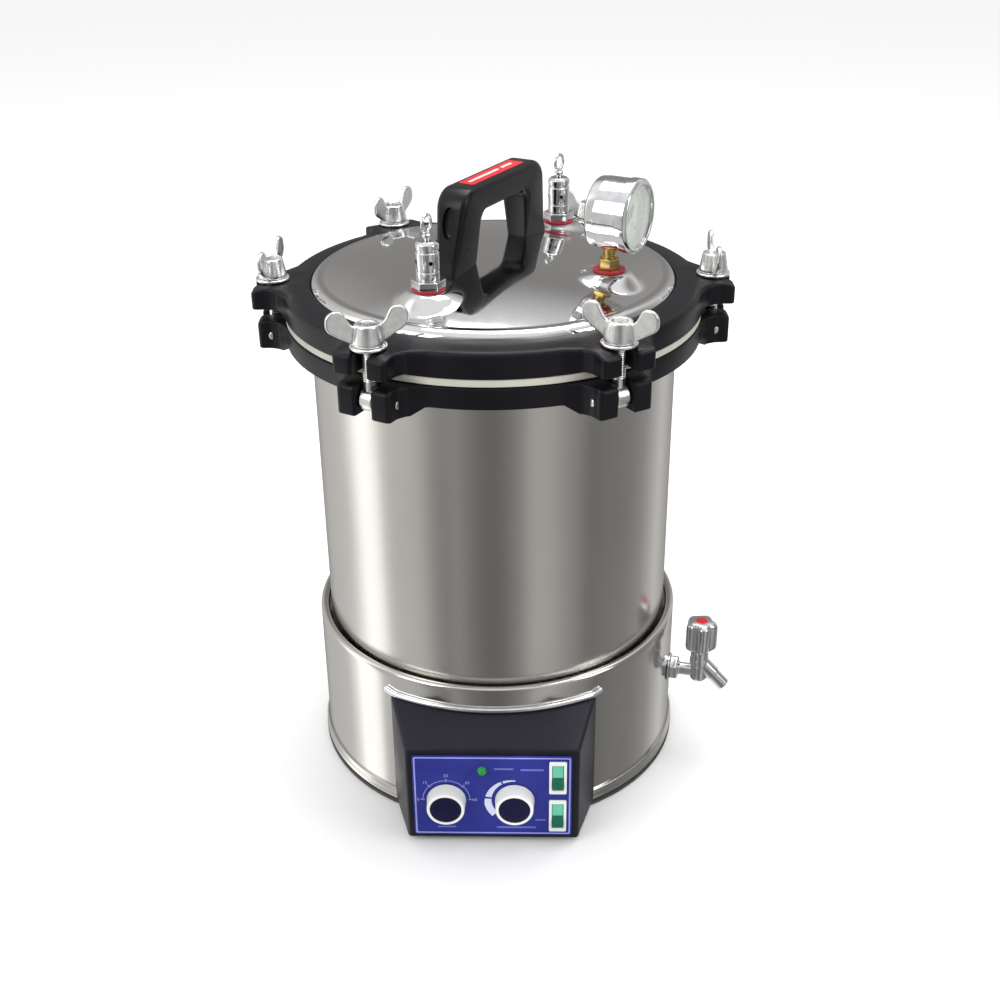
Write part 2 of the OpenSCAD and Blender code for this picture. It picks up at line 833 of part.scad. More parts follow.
module gauge_case() {
    depth = gauge_front - gauge_back;
    color("gainsboro") difference() {
        on_gauge(gauge_back) difference() {
            union() {
                cylinder(r = gauge_r, h = depth - 3);
                translate([0, 0, depth - 3]) cylinder(r1 = gauge_r, r2 = gauge_r - 1.5, h = 3);
            }
            translate([0, 0, 2]) cylinder(r = gauge_r - gauge_wall, h = dial_x - gauge_back - 2);
            translate([0, 0, dial_x - gauge_back - 1])
                cylinder(r = gauge_r - gauge_wall, h = glass_x - dial_x + 2);
            translate([0, 0, glass_x - gauge_back]) cylinder(r = gauge_r - 4, h = 10);
        }
        at_fitting(gauge_turn) translate([0, 0, 400]) cylinder(r = 5, h = 55);
    }
}

module gauge_dial() {
    color("beige") on_gauge(dial_x) {
        difference() {
            cylinder(r = gauge_r - gauge_wall, h = 1);
            translate([0, 0, -1]) cylinder(r = 1.5 + running, h = 4);
        }
    }
}

module gauge_needle() {
    color("black") on_gauge(needle_x) {
        translate([0, 0, -6]) cylinder(r = 1.5, h = 7);
        cylinder(r = 3, h = 1);
        linear_extrude(height = 0.8)
            rotate([0, 0, -45])
                polygon([[-8, -1.5], [0, -2], [18, -0.4], [18, 0.4], [0, 2], [-8, 1.5]]);
    }
}

module gauge_glass() {
    color("lightcyan", 0.35) on_gauge(glass_x) cylinder(r = gauge_r - gauge_wall, h = 1);
}

// ---------- Inside the pot ----------

module basket() {
    slot_h = 130;
    color(steel) difference() {
        turned([[0, basket_z], [basket_r, basket_z], [basket_r, basket_top_z - 3],
            [basket_r + 2, basket_top_z - 3], [basket_r + 2, basket_top_z],
            [basket_r - basket_t, basket_top_z], [basket_r - basket_t, basket_z + basket_t],
            [0, basket_z + basket_t]]);
        for (i = [0:basket_slots - 1])
            rotate([0, 0, 360 / basket_slots * i])
                translate([basket_r - 10, -6, basket_z + 30])
                    cube([20, 12, slot_h]);
    }
}

module trivet() {
    hole_n = 12;
    color(steel) {
        difference() {
            translate([0, 0, trivet_z]) cylinder(r = trivet_r, h = trivet_t);
            for (i = [0:hole_n - 1])
                rotate([0, 0, 360 / hole_n * i])
                    translate([90, 0, trivet_z - 1])
                        cylinder(r = 12, h = 5);
            translate([0, 0, trivet_z - 1]) cylinder(r = 30, h = 5);
        }
        for (a = [15:120:255])
            rotate([0, 0, a])
                translate([115, 0, pot_floor_z + pot_wall])
                    cylinder(r = 5, h = trivet_z - pot_floor_z - pot_wall + 0.5, $fn = 32);
    }
}

base_shell();
base_plate();
foot_ring();
heater();
cable_gland();
control_box();
front_panel();
panel_lamp();
timer_unit();
thermostat_unit();
knob(timer_x);  // timer_knob
knob_cap(timer_x);  // timer_cap
knob(temp_x);  // temp_knob
knob_cap(temp_x);  // temp_cap
switch_frames();
rocker(switch_upper_z);  // rocker_upper
rocker(switch_lower_z);  // rocker_lower
tap_nut();
tap_body();
tap_knob();
drain_pipe();
pot();
pot_ring();
lid_gasket();
hinge_pins();
eye_bolt(1);  // eye_bolt_1
eye_bolt(2);  // eye_bolt_2
eye_bolt(3);  // eye_bolt_3
eye_bolt(4);  // eye_bolt_4
eye_bolt(5);  // eye_bolt_5
eye_bolt(6);  // eye_bolt_6
washer(1);  // washer_1
washer(2);  // washer_2
washer(3);  // washer_3
washer(4);  // washer_4
washer(5);  // washer_5
washer(6);  // washer_6
wing_nut(1);  // wing_nut_1
wing_nut(2);  // wing_nut_2
wing_nut(3);  // wing_nut_3
wing_nut(4);  // wing_nut_4
wing_nut(5);  // wing_nut_5
wing_nut(6);  // wing_nut_6
lid();
lid_ring();
handle();
fitting_gaskets();
valve_body(safety_turn);  // safety_body
valve_spring(safety_turn);  // safety_spring
valve_stem(safety_turn);  // safety_stem
valve_body(release_turn);  // release_body
valve_spring(release_turn);  // release_spring
valve_stem(release_turn);  // release_stem
gauge_fitting();
gauge_case();
gauge_dial();
gauge_needle();
gauge_glass();
basket();
trivet();
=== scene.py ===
import math

import bmesh
import bpy
from mathutils import Matrix, Vector
from mathutils.geometry import delaunay_2d_cdt


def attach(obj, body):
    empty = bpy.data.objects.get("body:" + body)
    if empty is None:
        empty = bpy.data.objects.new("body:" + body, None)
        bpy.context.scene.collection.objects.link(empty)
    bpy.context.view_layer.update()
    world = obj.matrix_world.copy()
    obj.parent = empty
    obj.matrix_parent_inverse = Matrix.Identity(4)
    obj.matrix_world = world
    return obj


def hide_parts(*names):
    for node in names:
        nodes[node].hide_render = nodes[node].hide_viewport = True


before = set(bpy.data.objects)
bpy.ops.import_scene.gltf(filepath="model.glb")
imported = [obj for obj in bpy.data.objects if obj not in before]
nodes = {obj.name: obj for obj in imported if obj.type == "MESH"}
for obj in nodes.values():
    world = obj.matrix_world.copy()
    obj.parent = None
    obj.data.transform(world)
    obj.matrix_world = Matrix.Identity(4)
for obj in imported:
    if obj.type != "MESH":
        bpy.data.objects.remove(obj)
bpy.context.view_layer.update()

# Sizes below are in millimetres, in the CAD's frame. Meshes are scaled to metres as they are made.
MM = 0.001
POT_TURN = 1.9
CLAMPS = 6
PIN_R, PIN_Z = 170.5, 372
SLOT_HALF, EAR_HALF, PIN_HALF = 6.5, 22, 22.6
EYE_HALF = 5.4
RING_R = 161.7
SHELL_R = 152
LID_R = 141
DOME_R = 137
FITTING_R = 98.5
FITTING_Z = 431.8
GAUGE_Z = 473
HANDLE_TOP = 491
TAP_R, TAP_Z, TAP_TURN = 178, 71, -13
PANEL_Y = -179.5
TIMER_X, TEMP_X, KNOB_Z = -36, 17.4, 44
SWITCH_X, SWITCH_Z = 51, (66.5, 29.3)
rad = math.radians


def turn_z(degrees):
    return Matrix.Rotation(rad(degrees), 4, "Z")


def move(x, y, z):
    return Matrix.Translation((x, y, z))


# ---------------------------------------------------------------- materials


def new_material(name, colour, metallic=0.0, roughness=0.5, **sockets):
    material = bpy.data.materials.new(name)
    material.use_nodes = True
    shader = material.node_tree.nodes["Principled BSDF"]
    shader.inputs["Base Color"].default_value = (*colour, 1)
    shader.inputs["Metallic"].default_value = metallic
    shader.inputs["Roughness"].default_value = roughness
    for socket, value in sockets.items():
        shader.inputs[socket.replace("_", " ")].default_value = value
    return material


def add(material, kind, **values):
    node = material.node_tree.nodes.new(kind)
    for key, value in values.items():
        setattr(node, key, value)
    return node


def link(material, source, target):
    material.node_tree.links.new(source, target)


def noise(material, scale, detail=3.0, stretch=(1, 1, 1), vector=None):
    """A noise pattern in the object's own space, stretched along its axes."""
    if vector is None:
        vector = add(material, "ShaderNodeTexCoord").outputs["Object"]
    mapping = add(material, "ShaderNodeMapping")
    mapping.inputs["Scale"].default_value = stretch
    link(material, vector, mapping.inputs["Vector"])
    pattern = add(material, "ShaderNodeTexNoise")
    pattern.inputs["Scale"].default_value = scale
    pattern.inputs["Detail"].default_value = detail
    link(material, mapping.outputs["Vector"], pattern.inputs["Vector"])
    return pattern.outputs["Fac"]


def spread(material, value, low, high, start=0.3, end=0.7):
    node = add(material, "ShaderNodeMapRange")
    node.inputs["From Min"].default_value = start
    node.inputs["From Max"].default_value = end
    node.inputs["To Min"].default_value = low
    node.inputs["To Max"].default_value = high
    link(material, value, node.inputs["Value"])
    return node.outputs["Result"]


def set_roughness(material, value, low, high, start=0.3, end=0.7):
    shader = material.node_tree.nodes["Principled BSDF"]
    link(material, spread(material, value, low, high, start, end), shader.inputs["Roughness"])


def set_colour(material, value, dark, light, start=0.3, end=0.7):
    ramp = add(material, "ShaderNodeValToRGB")
    ramp.color_ramp.elements[0].position = start
    ramp.color_ramp.elements[0].color = (*dark, 1)
    ramp.color_ramp.elements[1].position = end
    ramp.color_ramp.elements[1].color = (*light, 1)
    link(material, value, ramp.inputs["Fac"])
    shader = material.node_tree.nodes["Principled BSDF"]
    link(material, ramp.outputs["Color"], shader.inputs["Base Color"])


def set_bump(material, value, strength, distance=0.0002):
    bump = add(material, "ShaderNodeBump")
    bump.inputs["Strength"].default_value = strength
    bump.inputs["Distance"].default_value = distance
    link(material, value, bump.inputs["Height"])
    shader = material.node_tree.nodes["Principled BSDF"]
    link(material, bump.outputs["Normal"], shader.inputs["Normal"])


def shaded(colour, share):
    return tuple(c * share for c in colour)


def sheet_steel(name, colour, rough, waves=0.12):
    """Rolled and polished sheet: fine lines run round it, and it is slightly wavy."""
    material = new_material(name, colour, 1.0, rough)
    lines = noise(material, 1.0, 4.0, (3, 3, 1400))
    blotches = noise(material, 9.0, 4.0, (1, 1, 0.6))
    mixed = add(material, "ShaderNodeMath", operation="MULTIPLY_ADD")
    mixed.inputs[1].default_value = 0.55
    link(material, lines, mixed.inputs[0])
    scaled = add(material, "ShaderNodeMath", operation="MULTIPLY")
    scaled.inputs[1].default_value = 0.45
    link(material, blotches, scaled.inputs[0])
    link(material, scaled.outputs[0], mixed.inputs[2])
    set_roughness(material, mixed.outputs[0], rough * 0.8, rough * 1.25)
    set_colour(material, blotches, shaded(colour, 0.95), shaded(colour, 1.04))
    set_bump(material, noise(material, 5.0, 1.0, (1, 1, 0.25)), waves, 0.004)
    return material


def mirror_steel(name, colour, rough):
    """Mirror-polished sheet with faint smudges and rub marks."""
    material = new_material(name, colour, 1.0, rough)
    smudges = noise(material, 24.0, 5.0)
    set_roughness(material, smudges, rough * 0.7, rough * 2.2, 0.35, 0.75)
    set_colour(material, noise(material, 7.0, 2.0), shaded(colour, 0.96), shaded(colour, 1.03))
    set_bump(material, noise(material, 9.0, 1.0), 0.10, 0.002)
    return material


def plated(name, colour, rough, mottle=0.25, size=60.0):
    """Plated metal: slightly mottled, with soft tarnish."""
    material = new_material(name, colour, 1.0, rough)
    patches = noise(material, size, 5.0)
    set_roughness(material, patches, rough * (1 - mottle), rough * (1 + 2 * mottle))
    set_colour(material, noise(material, size * 2.2, 3.0), shaded(colour, 0.88), shaded(colour, 1.05))
    set_bump(material, noise(material, size * 9, 2.0), 0.06, 0.0002)
    return material


def coated(name, colour, rough, peel=0.25, size=420.0, coat=0.0, tint=(1.25, 1.25, 1.25), shine=0.5):
    """Enamel or moulded plastic: orange peel, slight colour drift and handling marks."""
    material = new_material(name, colour, 0.0, rough, Coat_Weight=coat, Coat_Roughness=0.12,
                            Specular_IOR_Level=shine)
    drift = noise(material, 18.0, 4.0)
    set_roughness(material, drift, rough * 0.8, rough * 1.2)
    light = tuple(c * t for c, t in zip(colour, tint))
    set_colour(material, drift, shaded(colour, 0.85), light)
    set_bump(material, noise(material, size, 2.0), peel, 0.0002)
    return material


STAINLESS = (0.63, 0.615, 0.59)
pot_steel = sheet_steel("pot_steel", STAINLESS, 0.2)
base_steel = sheet_steel("base_steel", (0.60, 0.59, 0.57), 0.13)
inner_steel = sheet_steel("inner_steel", (0.52, 0.51, 0.49), 0.3)
lid_mirror = mirror_steel("lid_mirror", (0.74, 0.735, 0.73), 0.055)
ring_enamel = coated("ring_enamel", (0.0045, 0.0038, 0.006), 0.36, 0.3, 300.0, 0.0, shine=0.22)
box_paint = coated("box_paint", (0.008, 0.0075, 0.015), 0.42, 0.35, 700.0, shine=0.3)
zinc = plated("zinc", (0.90, 0.91, 0.90), 0.26, 0.3, 90.0)
chrome = plated("chrome", (0.80, 0.80, 0.81), 0.07, 0.3)
satin_chrome = plated("satin_chrome", (0.74, 0.74, 0.75), 0.15, 0.3)
trim_chrome = plated("trim_chrome", (0.86, 0.86, 0.87), 0.10, 0.3)
brass = plated("brass", (0.58, 0.41, 0.15), 0.24, 0.35)
handle_plastic = coated("handle_plastic", (0.004, 0.004, 0.006), 0.28, 0.12, 500.0, 0.0, shine=0.28)
# The gasket's cream is darkened below its own tone: painted shade of the gap between the clamp rings.
cream_silicone_painted_shade = coated("cream_silicone_painted_shade", (0.42, 0.41, 0.35), 0.45, 0.1)
red_silicone = coated("red_silicone", (0.36, 0.012, 0.03), 0.42, 0.1)
rubber = coated("rubber", (0.035, 0.035, 0.036), 0.7, 0.4, 900.0)
panel_ink = coated("panel_ink", (0.014, 0.020, 0.215), 0.38, 0.05, 900.0, shine=0.4)
print_lilac = coated("print_lilac", (0.26, 0.27, 0.62), 0.5, 0.05)
print_faint = coated("print_faint", (0.10, 0.12, 0.42), 0.5, 0.05)
print_white = coated("print_white", (0.52, 0.56, 0.70), 0.5, 0.05)
white_plastic = coated("white_plastic", (0.80, 0.80, 0.76), 0.28, 0.06, 900.0, 0.2, (1.06, 1.06, 1.06))
switch_plastic = coated("switch_plastic", (0.74, 0.80, 0.76), 0.3, 0.06, 900.0, 0.2, (1.05, 1.05, 1.05))
navy_plastic = coated("navy_plastic", (0.006, 0.005, 0.032), 0.30, 0.08, 900.0, 0.0, shine=0.3)
# The rocker is one green plastic: its upper half gets this paler mint as painted light, its lower half the
# darker green below as painted shade.
painted_light_mint_plastic = coated("painted_light_mint_plastic", (0.12, 0.46, 0.32), 0.2, 0.04, 900.0, 0.4)
painted_shade_green_plastic = coated("painted_shade_green_plastic", (0.004, 0.11, 0.065), 0.2, 0.04, 900.0, 0.4)
lamp_plastic = coated("lamp_plastic", (0.006, 0.25, 0.03), 0.2, 0.04, 900.0, 0.5)
grey_plastic = coated("grey_plastic", (0.22, 0.22, 0.23), 0.55, 0.2)
black_plastic = coated("black_plastic", (0.03, 0.03, 0.03), 0.5, 0.2)
label_red = coated("label_red", (0.55, 0.012, 0.02), 0.35, 0.06)
label_pale = coated("label_pale", (0.72, 0.60, 0.58), 0.4, 0.06)
dial_paper = coated("dial_paper", (0.66, 0.70, 0.62), 0.5, 0.05, 900.0, 0.0, (1.08, 1.08, 1.08))
dial_ink = coated("dial_ink", (0.02, 0.02, 0.02), 0.5, 0.05)
heater_metal = plated("heater_metal", (0.24, 0.22, 0.20), 0.45)
spring_metal = plated("spring_metal", (0.5, 0.5, 0.5), 0.3)
glass = new_material("glass", (0.84, 0.88, 0.84), 0.0, 0.04, Alpha=0.3)
set_roughness(glass, noise(glass, 60.0), 0.02, 0.05)


# ------------------------------------------------------------- mesh helpers


def new_piece(name, verts, faces, material, matrix=None, angle=32):
    """A mesh piece from millimetre points, placed by matrix and turned into metres."""
    mesh = bpy.data.meshes.new(name)
    mesh.from_pydata([tuple(v) for v in verts], [], faces)
    mesh.validate()
    piece = bpy.data.objects.new(name, mesh)
    bpy.context.scene.collection.objects.link(piece)
    mesh.materials.append(material)
    finish_mesh(piece, matrix, angle)
    return piece


def finish_mesh(piece, matrix=None, angle=32, flat=False):
    mesh = piece.data
    mesh.transform(Matrix.Scale(MM, 4) @ (matrix or Matrix.Identity(4)))
    work = bmesh.new()
    work.from_mesh(mesh)
    bmesh.ops.recalc_face_normals(work, faces=work.faces)
    work.to_mesh(mesh)
    work.free()
    if not flat:
        mesh.shade_smooth()
        mesh.set_sharp_from_angle(angle=rad(angle))


def bake(piece):
    """Replaces the piece's mesh by the one its modifiers make."""
    depsgraph = bpy.context.evaluated_depsgraph_get()
    mesh = bpy.data.meshes.new_from_object(piece.evaluated_get(depsgraph))
    old = piece.data
    piece.modifiers.clear()
    piece.data = mesh
    bpy.data.meshes.remove(old)


def bevel(piece, width, segments=3, angle=30):
    """Rounds every sharp edge by width millimetres."""
    modifier = piece.modifiers.new("bevel", "BEVEL")
    modifier.width = width * MM
    modifier.segments = segments
    modifier.limit_method = "ANGLE"
    modifier.angle_limit = rad(angle)
    modifier.harden_normals = False
    bake(piece)
    piece.data.shade_smooth()
    piece.data.set_sharp_from_angle(angle=rad(40))


def combine(piece, others, operation="UNION"):
    """Joins other pieces to this one, or cuts them out of it, and removes them."""
    for other in others:
        modifier = piece.modifiers.new("combine", "BOOLEAN")
        modifier.operation = operation
        modifier.solver = "EXACT"
        modifier.object = other
    bake(piece)
    for other in others:
        bpy.data.objects.remove(other)


def remesh(piece, voxel, smooth=4):
    """Turns joined solids into one skin, as a casting has, and softens its edges."""
    modifier = piece.modifiers.new("remesh", "REMESH")
    modifier.mode = "VOXEL"
    modifier.voxel_size = voxel * MM
    relax = piece.modifiers.new("smooth", "SMOOTH")
    relax.iterations = smooth
    relax.factor = 0.5
    bake(piece)
    piece.data.shade_smooth()


def join(pieces, name):
    """Puts several meshes into one piece, each keeping its own material."""
    first = pieces[0]
    materials = [p.data.materials[0] for p in pieces]
    work = bmesh.new()
    for index, piece in enumerate(pieces):
        before = len(work.faces)
        work.from_mesh(piece.data)
        work.faces.ensure_lookup_table()
        for face in work.faces[before:]:
            face.material_index = index
    work.to_mesh(first.data)
    work.free()
    for material in materials[1:]:
        first.data.materials.append(material)
    for piece in pieces[1:]:
        bpy.data.objects.remove(piece)
    first.name = name
    return first


def done(piece, body, slot, *replaced):
    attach(piece, body)
    if replaced:
        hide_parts(*replaced)
    return piece


def rounded(points, closed=True, step=11):
    """A plane outline with its corners rounded. A point is (x, y) or (x, y, radius)."""
    out = []
    count = len(points)
    for i, point in enumerate(points):
        at = Vector(point[:2])
        radius = point[2] if len(point) > 2 else 0
        if radius == 0 or (not closed and i in (0, count - 1)):
            out.append(at)
            continue
        before = (Vector(points[i - 1][:2]) - at).normalized()
        after = (Vector(points[(i + 1) % count][:2]) - at).normalized()
        half = (math.pi - before.angle(after)) / 2
        centre = at + (before + after).normalized() * radius / math.cos(half)
        start = at + before * radius * math.tan(half) - centre
        sweep = -start.angle_signed(at + after * radius * math.tan(half) - centre)
        steps = max(2, math.ceil(abs(math.degrees(sweep)) / step))
        for k in range(steps + 1):
            spin = Matrix.Rotation(sweep * k / steps, 2)
            out.append(centre + spin @ start)
    return out


def turned(name, outline, material, matrix=None, segments=192, closed=True, angle=32):
    """Revolves an outline of (radius, height) points about Z. Points on the axis become poles."""
    verts, rings = [], []
    for point in outline:
        radius, height = point[0], point[1]
        if radius < 1e-6:
            rings.append([len(verts)] * segments)
            verts.append((0, 0, height))
        else:
            rings.append(list(range(len(verts), len(verts) + segments)))
            for k in range(segments):
                spin = 2 * math.pi * k / segments
                verts.append((radius * math.cos(spin), radius * math.sin(spin), height))
    faces = []
    pairs = list(zip(rings, rings[1:]))
    if closed and outline[0][0] > 1e-6:
        pairs.append((rings[-1], rings[0]))
    for low, high in pairs:
        for k in range(segments):
            n = (k + 1) % segments
            face = []
            for index in (low[k], low[n], high[n], high[k]):
                if index not in face:
                    face.append(index)
            if len(face) > 2:
                faces.append(face)
    return new_piece(name, verts, faces, material, matrix, angle=angle)


def outline_normals(loop):
    normals = []
    for i, point in enumerate(loop):
        before = (point - loop[i - 1]).normalized()
        after = (loop[(i + 1) % len(loop)] - point).normalized()
        along = (before + after).normalized()
        stretch = 1 / max(0.5, along.dot(after))
        normals.append(Vector((along.y, -along.x)) * stretch)
    return normals


def plan_solid(name, loops, low, high, material, edge=1.0, matrix=None, ties=(), steps=4, edge_low=None):
    """A plate with a plan outline, holes, rounded edges, and heights that vary over the plan.
    loops are counter-clockwise outlines, the outer one first. low, high and edge are numbers or functions
    of (x, y). ties are pairs of points (loop, index) joined by an edge across the caps."""

    def value(f, p):
        return f(p.x, p.y) if callable(f) else f

    verts, faces = [], []
    bottom, top = [], []
    for number, loop in enumerate(loops):
        normals = outline_normals(loop)
        sign = 1 if number == 0 else -1
        count = len(loop)
        rings = []
        for upper in (False, True):
            for k in range(steps + 1):
                phi = math.pi / 2 * k / steps
                ring = []
                for p, n in zip(loop, normals):
                    width = value(edge if upper or edge_low is None else edge_low, p)
                    if upper:
                        inset, drop = width * (1 - math.cos(phi)), width * (1 - math.sin(phi))
                    else:
                        inset, drop = width * (1 - math.sin(phi)), width * (1 - math.cos(phi))
                    q = p - n * inset * sign
                    z = value(high, p) - drop if upper else value(low, p) + drop
                    ring.append(len(verts))
                    verts.append((q.x, q.y, z))
                rings.append(ring)
        for a, b in zip(rings, rings[1:]):
            for i in range(count):
                j = (i + 1) % count
                face = [a[i], a[j], b[j], b[i]]
                faces.append(face if number == 0 else face[::-1])
        bottom.append(rings[0])
        top.append(rings[-1])
    for cap, up in ((bottom, False), (top, True)):
        flat, index, edges, start = [], [], [], []
        for ring in cap:
            start.append(len(flat))
            for k, v in enumerate(ring):
                flat.append(Vector(verts[v][:2]))
                index.append(v)
                edges.append((start[-1] + k, start[-1] + (k + 1) % len(ring)))
        edges += [(start[a] + i, start[b] + j) for (a, i), (b, j) in ties]
        points, _, triangles, origin, _, _ = delaunay_2d_cdt(flat, edges, [], 0, 1e-7)
        for triangle in triangles:
            middle = sum((points[i] for i in triangle), Vector((0, 0))) / 3
            if not inside(middle, [flat[s:s + len(r)] for s, r in zip(start, cap)]):
                continue
            if any(not origin[i] for i in triangle):
                continue
            face = [index[origin[i][0]] for i in triangle]
            faces.append(face if up else face[::-1])
    return new_piece(name, verts, faces, material, matrix)


def inside(point, loops):
    crossings = 0
    for loop in loops:
        for i, a in enumerate(loop):
            b = loop[i - 1]
            if (a.y > point.y) != (b.y > point.y):
                x = a.x + (point.y - a.y) / (b.y - a.y) * (b.x - a.x)
                crossings += x > point.x
    return crossings % 2 == 1


def circle(radius, count=96, x=0, y=0):
    return [Vector((x + radius * math.cos(2 * math.pi * k / count),
                    y + radius * math.sin(2 * math.pi * k / count))) for k in range(count)]


def polygon(radius, sides, soft=1.0, turn=0):
    return rounded([(radius * math.cos(2 * math.pi * k / sides + turn),
                     radius * math.sin(2 * math.pi * k / sides + turn), soft) for k in range(sides)])


def rectangle(x0, x1, y0, y1, soft=0):
    return rounded([(x0, y0, soft), (x1, y0, soft), (x1, y1, soft), (x0, y1, soft)])


def tube(name, points, radius, material, closed=False, sides=12, matrix=None):
    """A round wire along points."""
    count = len(points)
    verts, faces = [], []
    side = None
    for i, point in enumerate(points):
        after = points[(i + 1) % count] if closed or i < count - 1 else point
        before = points[i - 1] if closed or i else point
        along = (Vector(after) - Vector(before)).normalized()
        if side is None:
            side = along.orthogonal().normalized()
        side = (side - along * side.dot(along)).normalized()
        other = along.cross(side)
        for k in range(sides):
            spin = 2 * math.pi * k / sides
            verts.append(Vector(point) + (side * math.cos(spin) + other * math.sin(spin)) * radius)
    rings = count if closed else count - 1
    for i in range(rings):
        for k in range(sides):
            a, b = i * sides, (i + 1) % count * sides
            n = (k + 1) % sides
            faces.append([a + k, a + n, b + n, b + k])
    if not closed:
        faces.append(list(range(sides))[::-1])
        faces.append([(count - 1) * sides + k for k in range(sides)])
    return new_piece(name, verts, faces, material, matrix)


def at_clamp(number):
    return turn_z(POT_TURN + 60 * (number - 1))


def at_fitting(turn):
    return turn_z(POT_TURN + turn) @ move(FITTING_R, 0, 0)


def smooth_step(low, high, value):
    t = min(1, max(0, (value - low) / (high - low)))
    return t * t * (3 - 2 * t)


# ------------------------------------------------------------- base and pot


def build_base():
    bead = [(148.4 + 3.6 * math.cos(rad(a)), 125.4 + 3.6 * math.sin(rad(a))) for a in range(0, 313, 12)]
    shell = turned("base_shell_skin", [(150.8, 5.5), (152, 5.5), (152, 122.2)] + bead
                   + [(150.8, 122.3), (150.8, 100), (118, 100), (118, 98.5), (150.8, 98.5)],
                   base_steel, segments=256)
    done(shell, "base", "stainless", "base_shell")
    plate = turned("base_plate_skin", rounded([
        (0, 4), (154.0, 4, 0.8), (154.9, 6.0, 1.2), (153.6, 8.2, 0.7), (154.7, 10.6, 1.4), (153.6, 14, 0.6),
        (152.0, 14), (152.0, 5.5), (0, 5.5)], closed=False), base_steel, segments=256)
    done(plate, "base", "stainless", "base_plate")


def build_pot():
    outline = rounded([
        (0, 100), (143, 100, 8), (143, 388, 1.2), (158.5, 388, 0.6), (158.5, 389.5, 0.6), (141, 389.5, 1.5),
        (141, 102, 6), (0, 102)], closed=False)
    done(turned("pot_skin", outline, pot_steel, segments=256), "base", "stainless", "pot")
    # The gasket takes the darkened cream, which is painted shade of the gap between the rings.
    gasket = turned("gasket_skin", rounded([
        (146, 389.5), (158.7, 389.5), (158.7, 384.6), (160.9, 384.6, 1.0), (160.9, 390.3, 0.8),
        (159.3, 390.4), (159.3, 391.45, 0.5), (146, 391.45)]), cream_silicone_painted_shade, segments=256)
    done(gasket, "base", "seal_cream", "lid_gasket")


# --------------------------------------------------------------- clamp rings


def clamp_outline(ring_r, out_r, slot_in, round_slot, marks):
    """One sixth of a clamp ring's plan, from -30 to +30 degrees about its clamp."""
    root = 13.5
    start = [(ring_r * math.cos(rad(a)), ring_r * math.sin(rad(a)))
             for a in (-30, -27.4, -24.6, -21.8, -19, -16.2)]
    lower = start + [
        (ring_r * math.cos(rad(-root)), ring_r * math.sin(rad(-root)), 14),
        (164.6, -EAR_HALF - 3.6, 6), (171.5, -EAR_HALF, 12), (out_r, -EAR_HALF, 3.5),
        (out_r, -SLOT_HALF, 2.2)]
    if round_slot:
        slot = [(slot_in + SLOT_HALF * (1 - math.cos(rad(a))), -SLOT_HALF * math.sin(rad(a)))
                for a in (90, 68, 45, 22)]
    else:
        slot = [(slot_in, -SLOT_HALF, 1.5)]
    points = lower + slot
    half = rounded(points + [(slot_in, 0)], closed=False)
    marked = []
    for a, b in zip(half, half[1:]):
        marked.append(a)
        near, far = min(a.x, b.x) + 1e-6, max(a.x, b.x) - 1e-6
        crossing = [m for m in marks if near < m < far and abs(b.x - a.x) > 2]
        for m in sorted(crossing, reverse=b.x < a.x):
            marked.append(a.lerp(b, (m - a.x) / (b.x - a.x)))
    mirrored = [Vector((p.x, -p.y)) for p in reversed(marked)]
    return marked + [Vector((slot_in, 0))] + mirrored[:-1]


def clamp_ring(name, material, ring_r, in_r, out_r, slot_in, round_slot, marks, low, high, edge, edge_low):
    loop = []
    for number in range(CLAMPS):
        spin = Matrix.Rotation(rad(60 * number), 2)
        loop += [spin @ p for p in clamp_outline(ring_r, out_r, slot_in, round_slot, marks)]
    ties = []

    def local(p):
        turn = round(math.degrees(math.atan2(p.y, p.x)) / 60)
        return turn, Matrix.Rotation(rad(-60 * turn), 2) @ p

    placed = [local(p) for p in loop]
    for mark in marks:
        for number in range(-3, 4):
            for side in (-1, 1):
                found = [(p.y, i) for i, (turn, p) in enumerate(placed)
                         if turn == number and abs(p.x - mark) < 0.02 and p.y * side > 1]
                if len(found) == 2:
                    ties.append(((0, found[0][1]), (0, found[1][1])))

    def spread_over(f):
        if not callable(f):
            return f
        return lambda x, y: f(*local(Vector((x, y)))[1])

    inner = circle(in_r, 240)
    return plan_solid(name, [loop, inner], spread_over(low), spread_over(high), material,
                      spread_over(edge), turn_z(POT_TURN), ties, edge_low=spread_over(edge_low))


def build_rings():
    def crown(x, y):
        if math.hypot(x, y) < LID_R + 5:
            return 411.5
        over = max(0, min(x, 185) - PIN_R)
        return 409.7 - (38 - math.sqrt(38 * 38 - over * over)) if math.hypot(x, y) > 162.5 else 409.7

    def top_edge(x, y):
        if math.hypot(x, y) < LID_R + 5:
            return 0.5
        return 4.6 - 2.6 * smooth_step(162.5, 171, math.hypot(x, y))

    upper = clamp_ring("lid_ring_skin", ring_enamel, RING_R, LID_R, 185, 163, True, (171, 174, 177, 180, 182),
                       393, crown, top_edge, 0.8)
    skirt = turned("skirt", rounded([(159.7, 390.6), (RING_R, 390.6, 0.6), (RING_R, 394), (159.7, 394)]),
                   ring_enamel, segments=256)
    done(join([upper, skirt], "lid_ring_skin"), "lid", "ring_black", "lid_ring")

    def under(x, y):
        return 368 - 6.5 * smooth_step(162, 166, math.hypot(x, y))

    def lug_edge(x, y):
        return 1.2 + 2.8 * smooth_step(176, 182, x)

    lower = clamp_ring("pot_ring_skin", ring_enamel, RING_R, 143, 182, 161, False, (166, 171, 176, 179),
                       under, 384, lug_edge, 1.2)
    done(lower, "base", "ring_black", "pot_ring")


# -------------------------------------------------------------------- clamps

NUT_TURNS = (90, 5, 60, 80, 17, -31)
NUT_Z = 412.45
WASHER_Z = 410.35


def lying(matrix, x, z):
    """Turns a shape drawn about Z so that its axis lies along the clamp's hinge axis."""
    return matrix @ move(x, 0, z) @ Matrix.Rotation(rad(90), 4, "X")


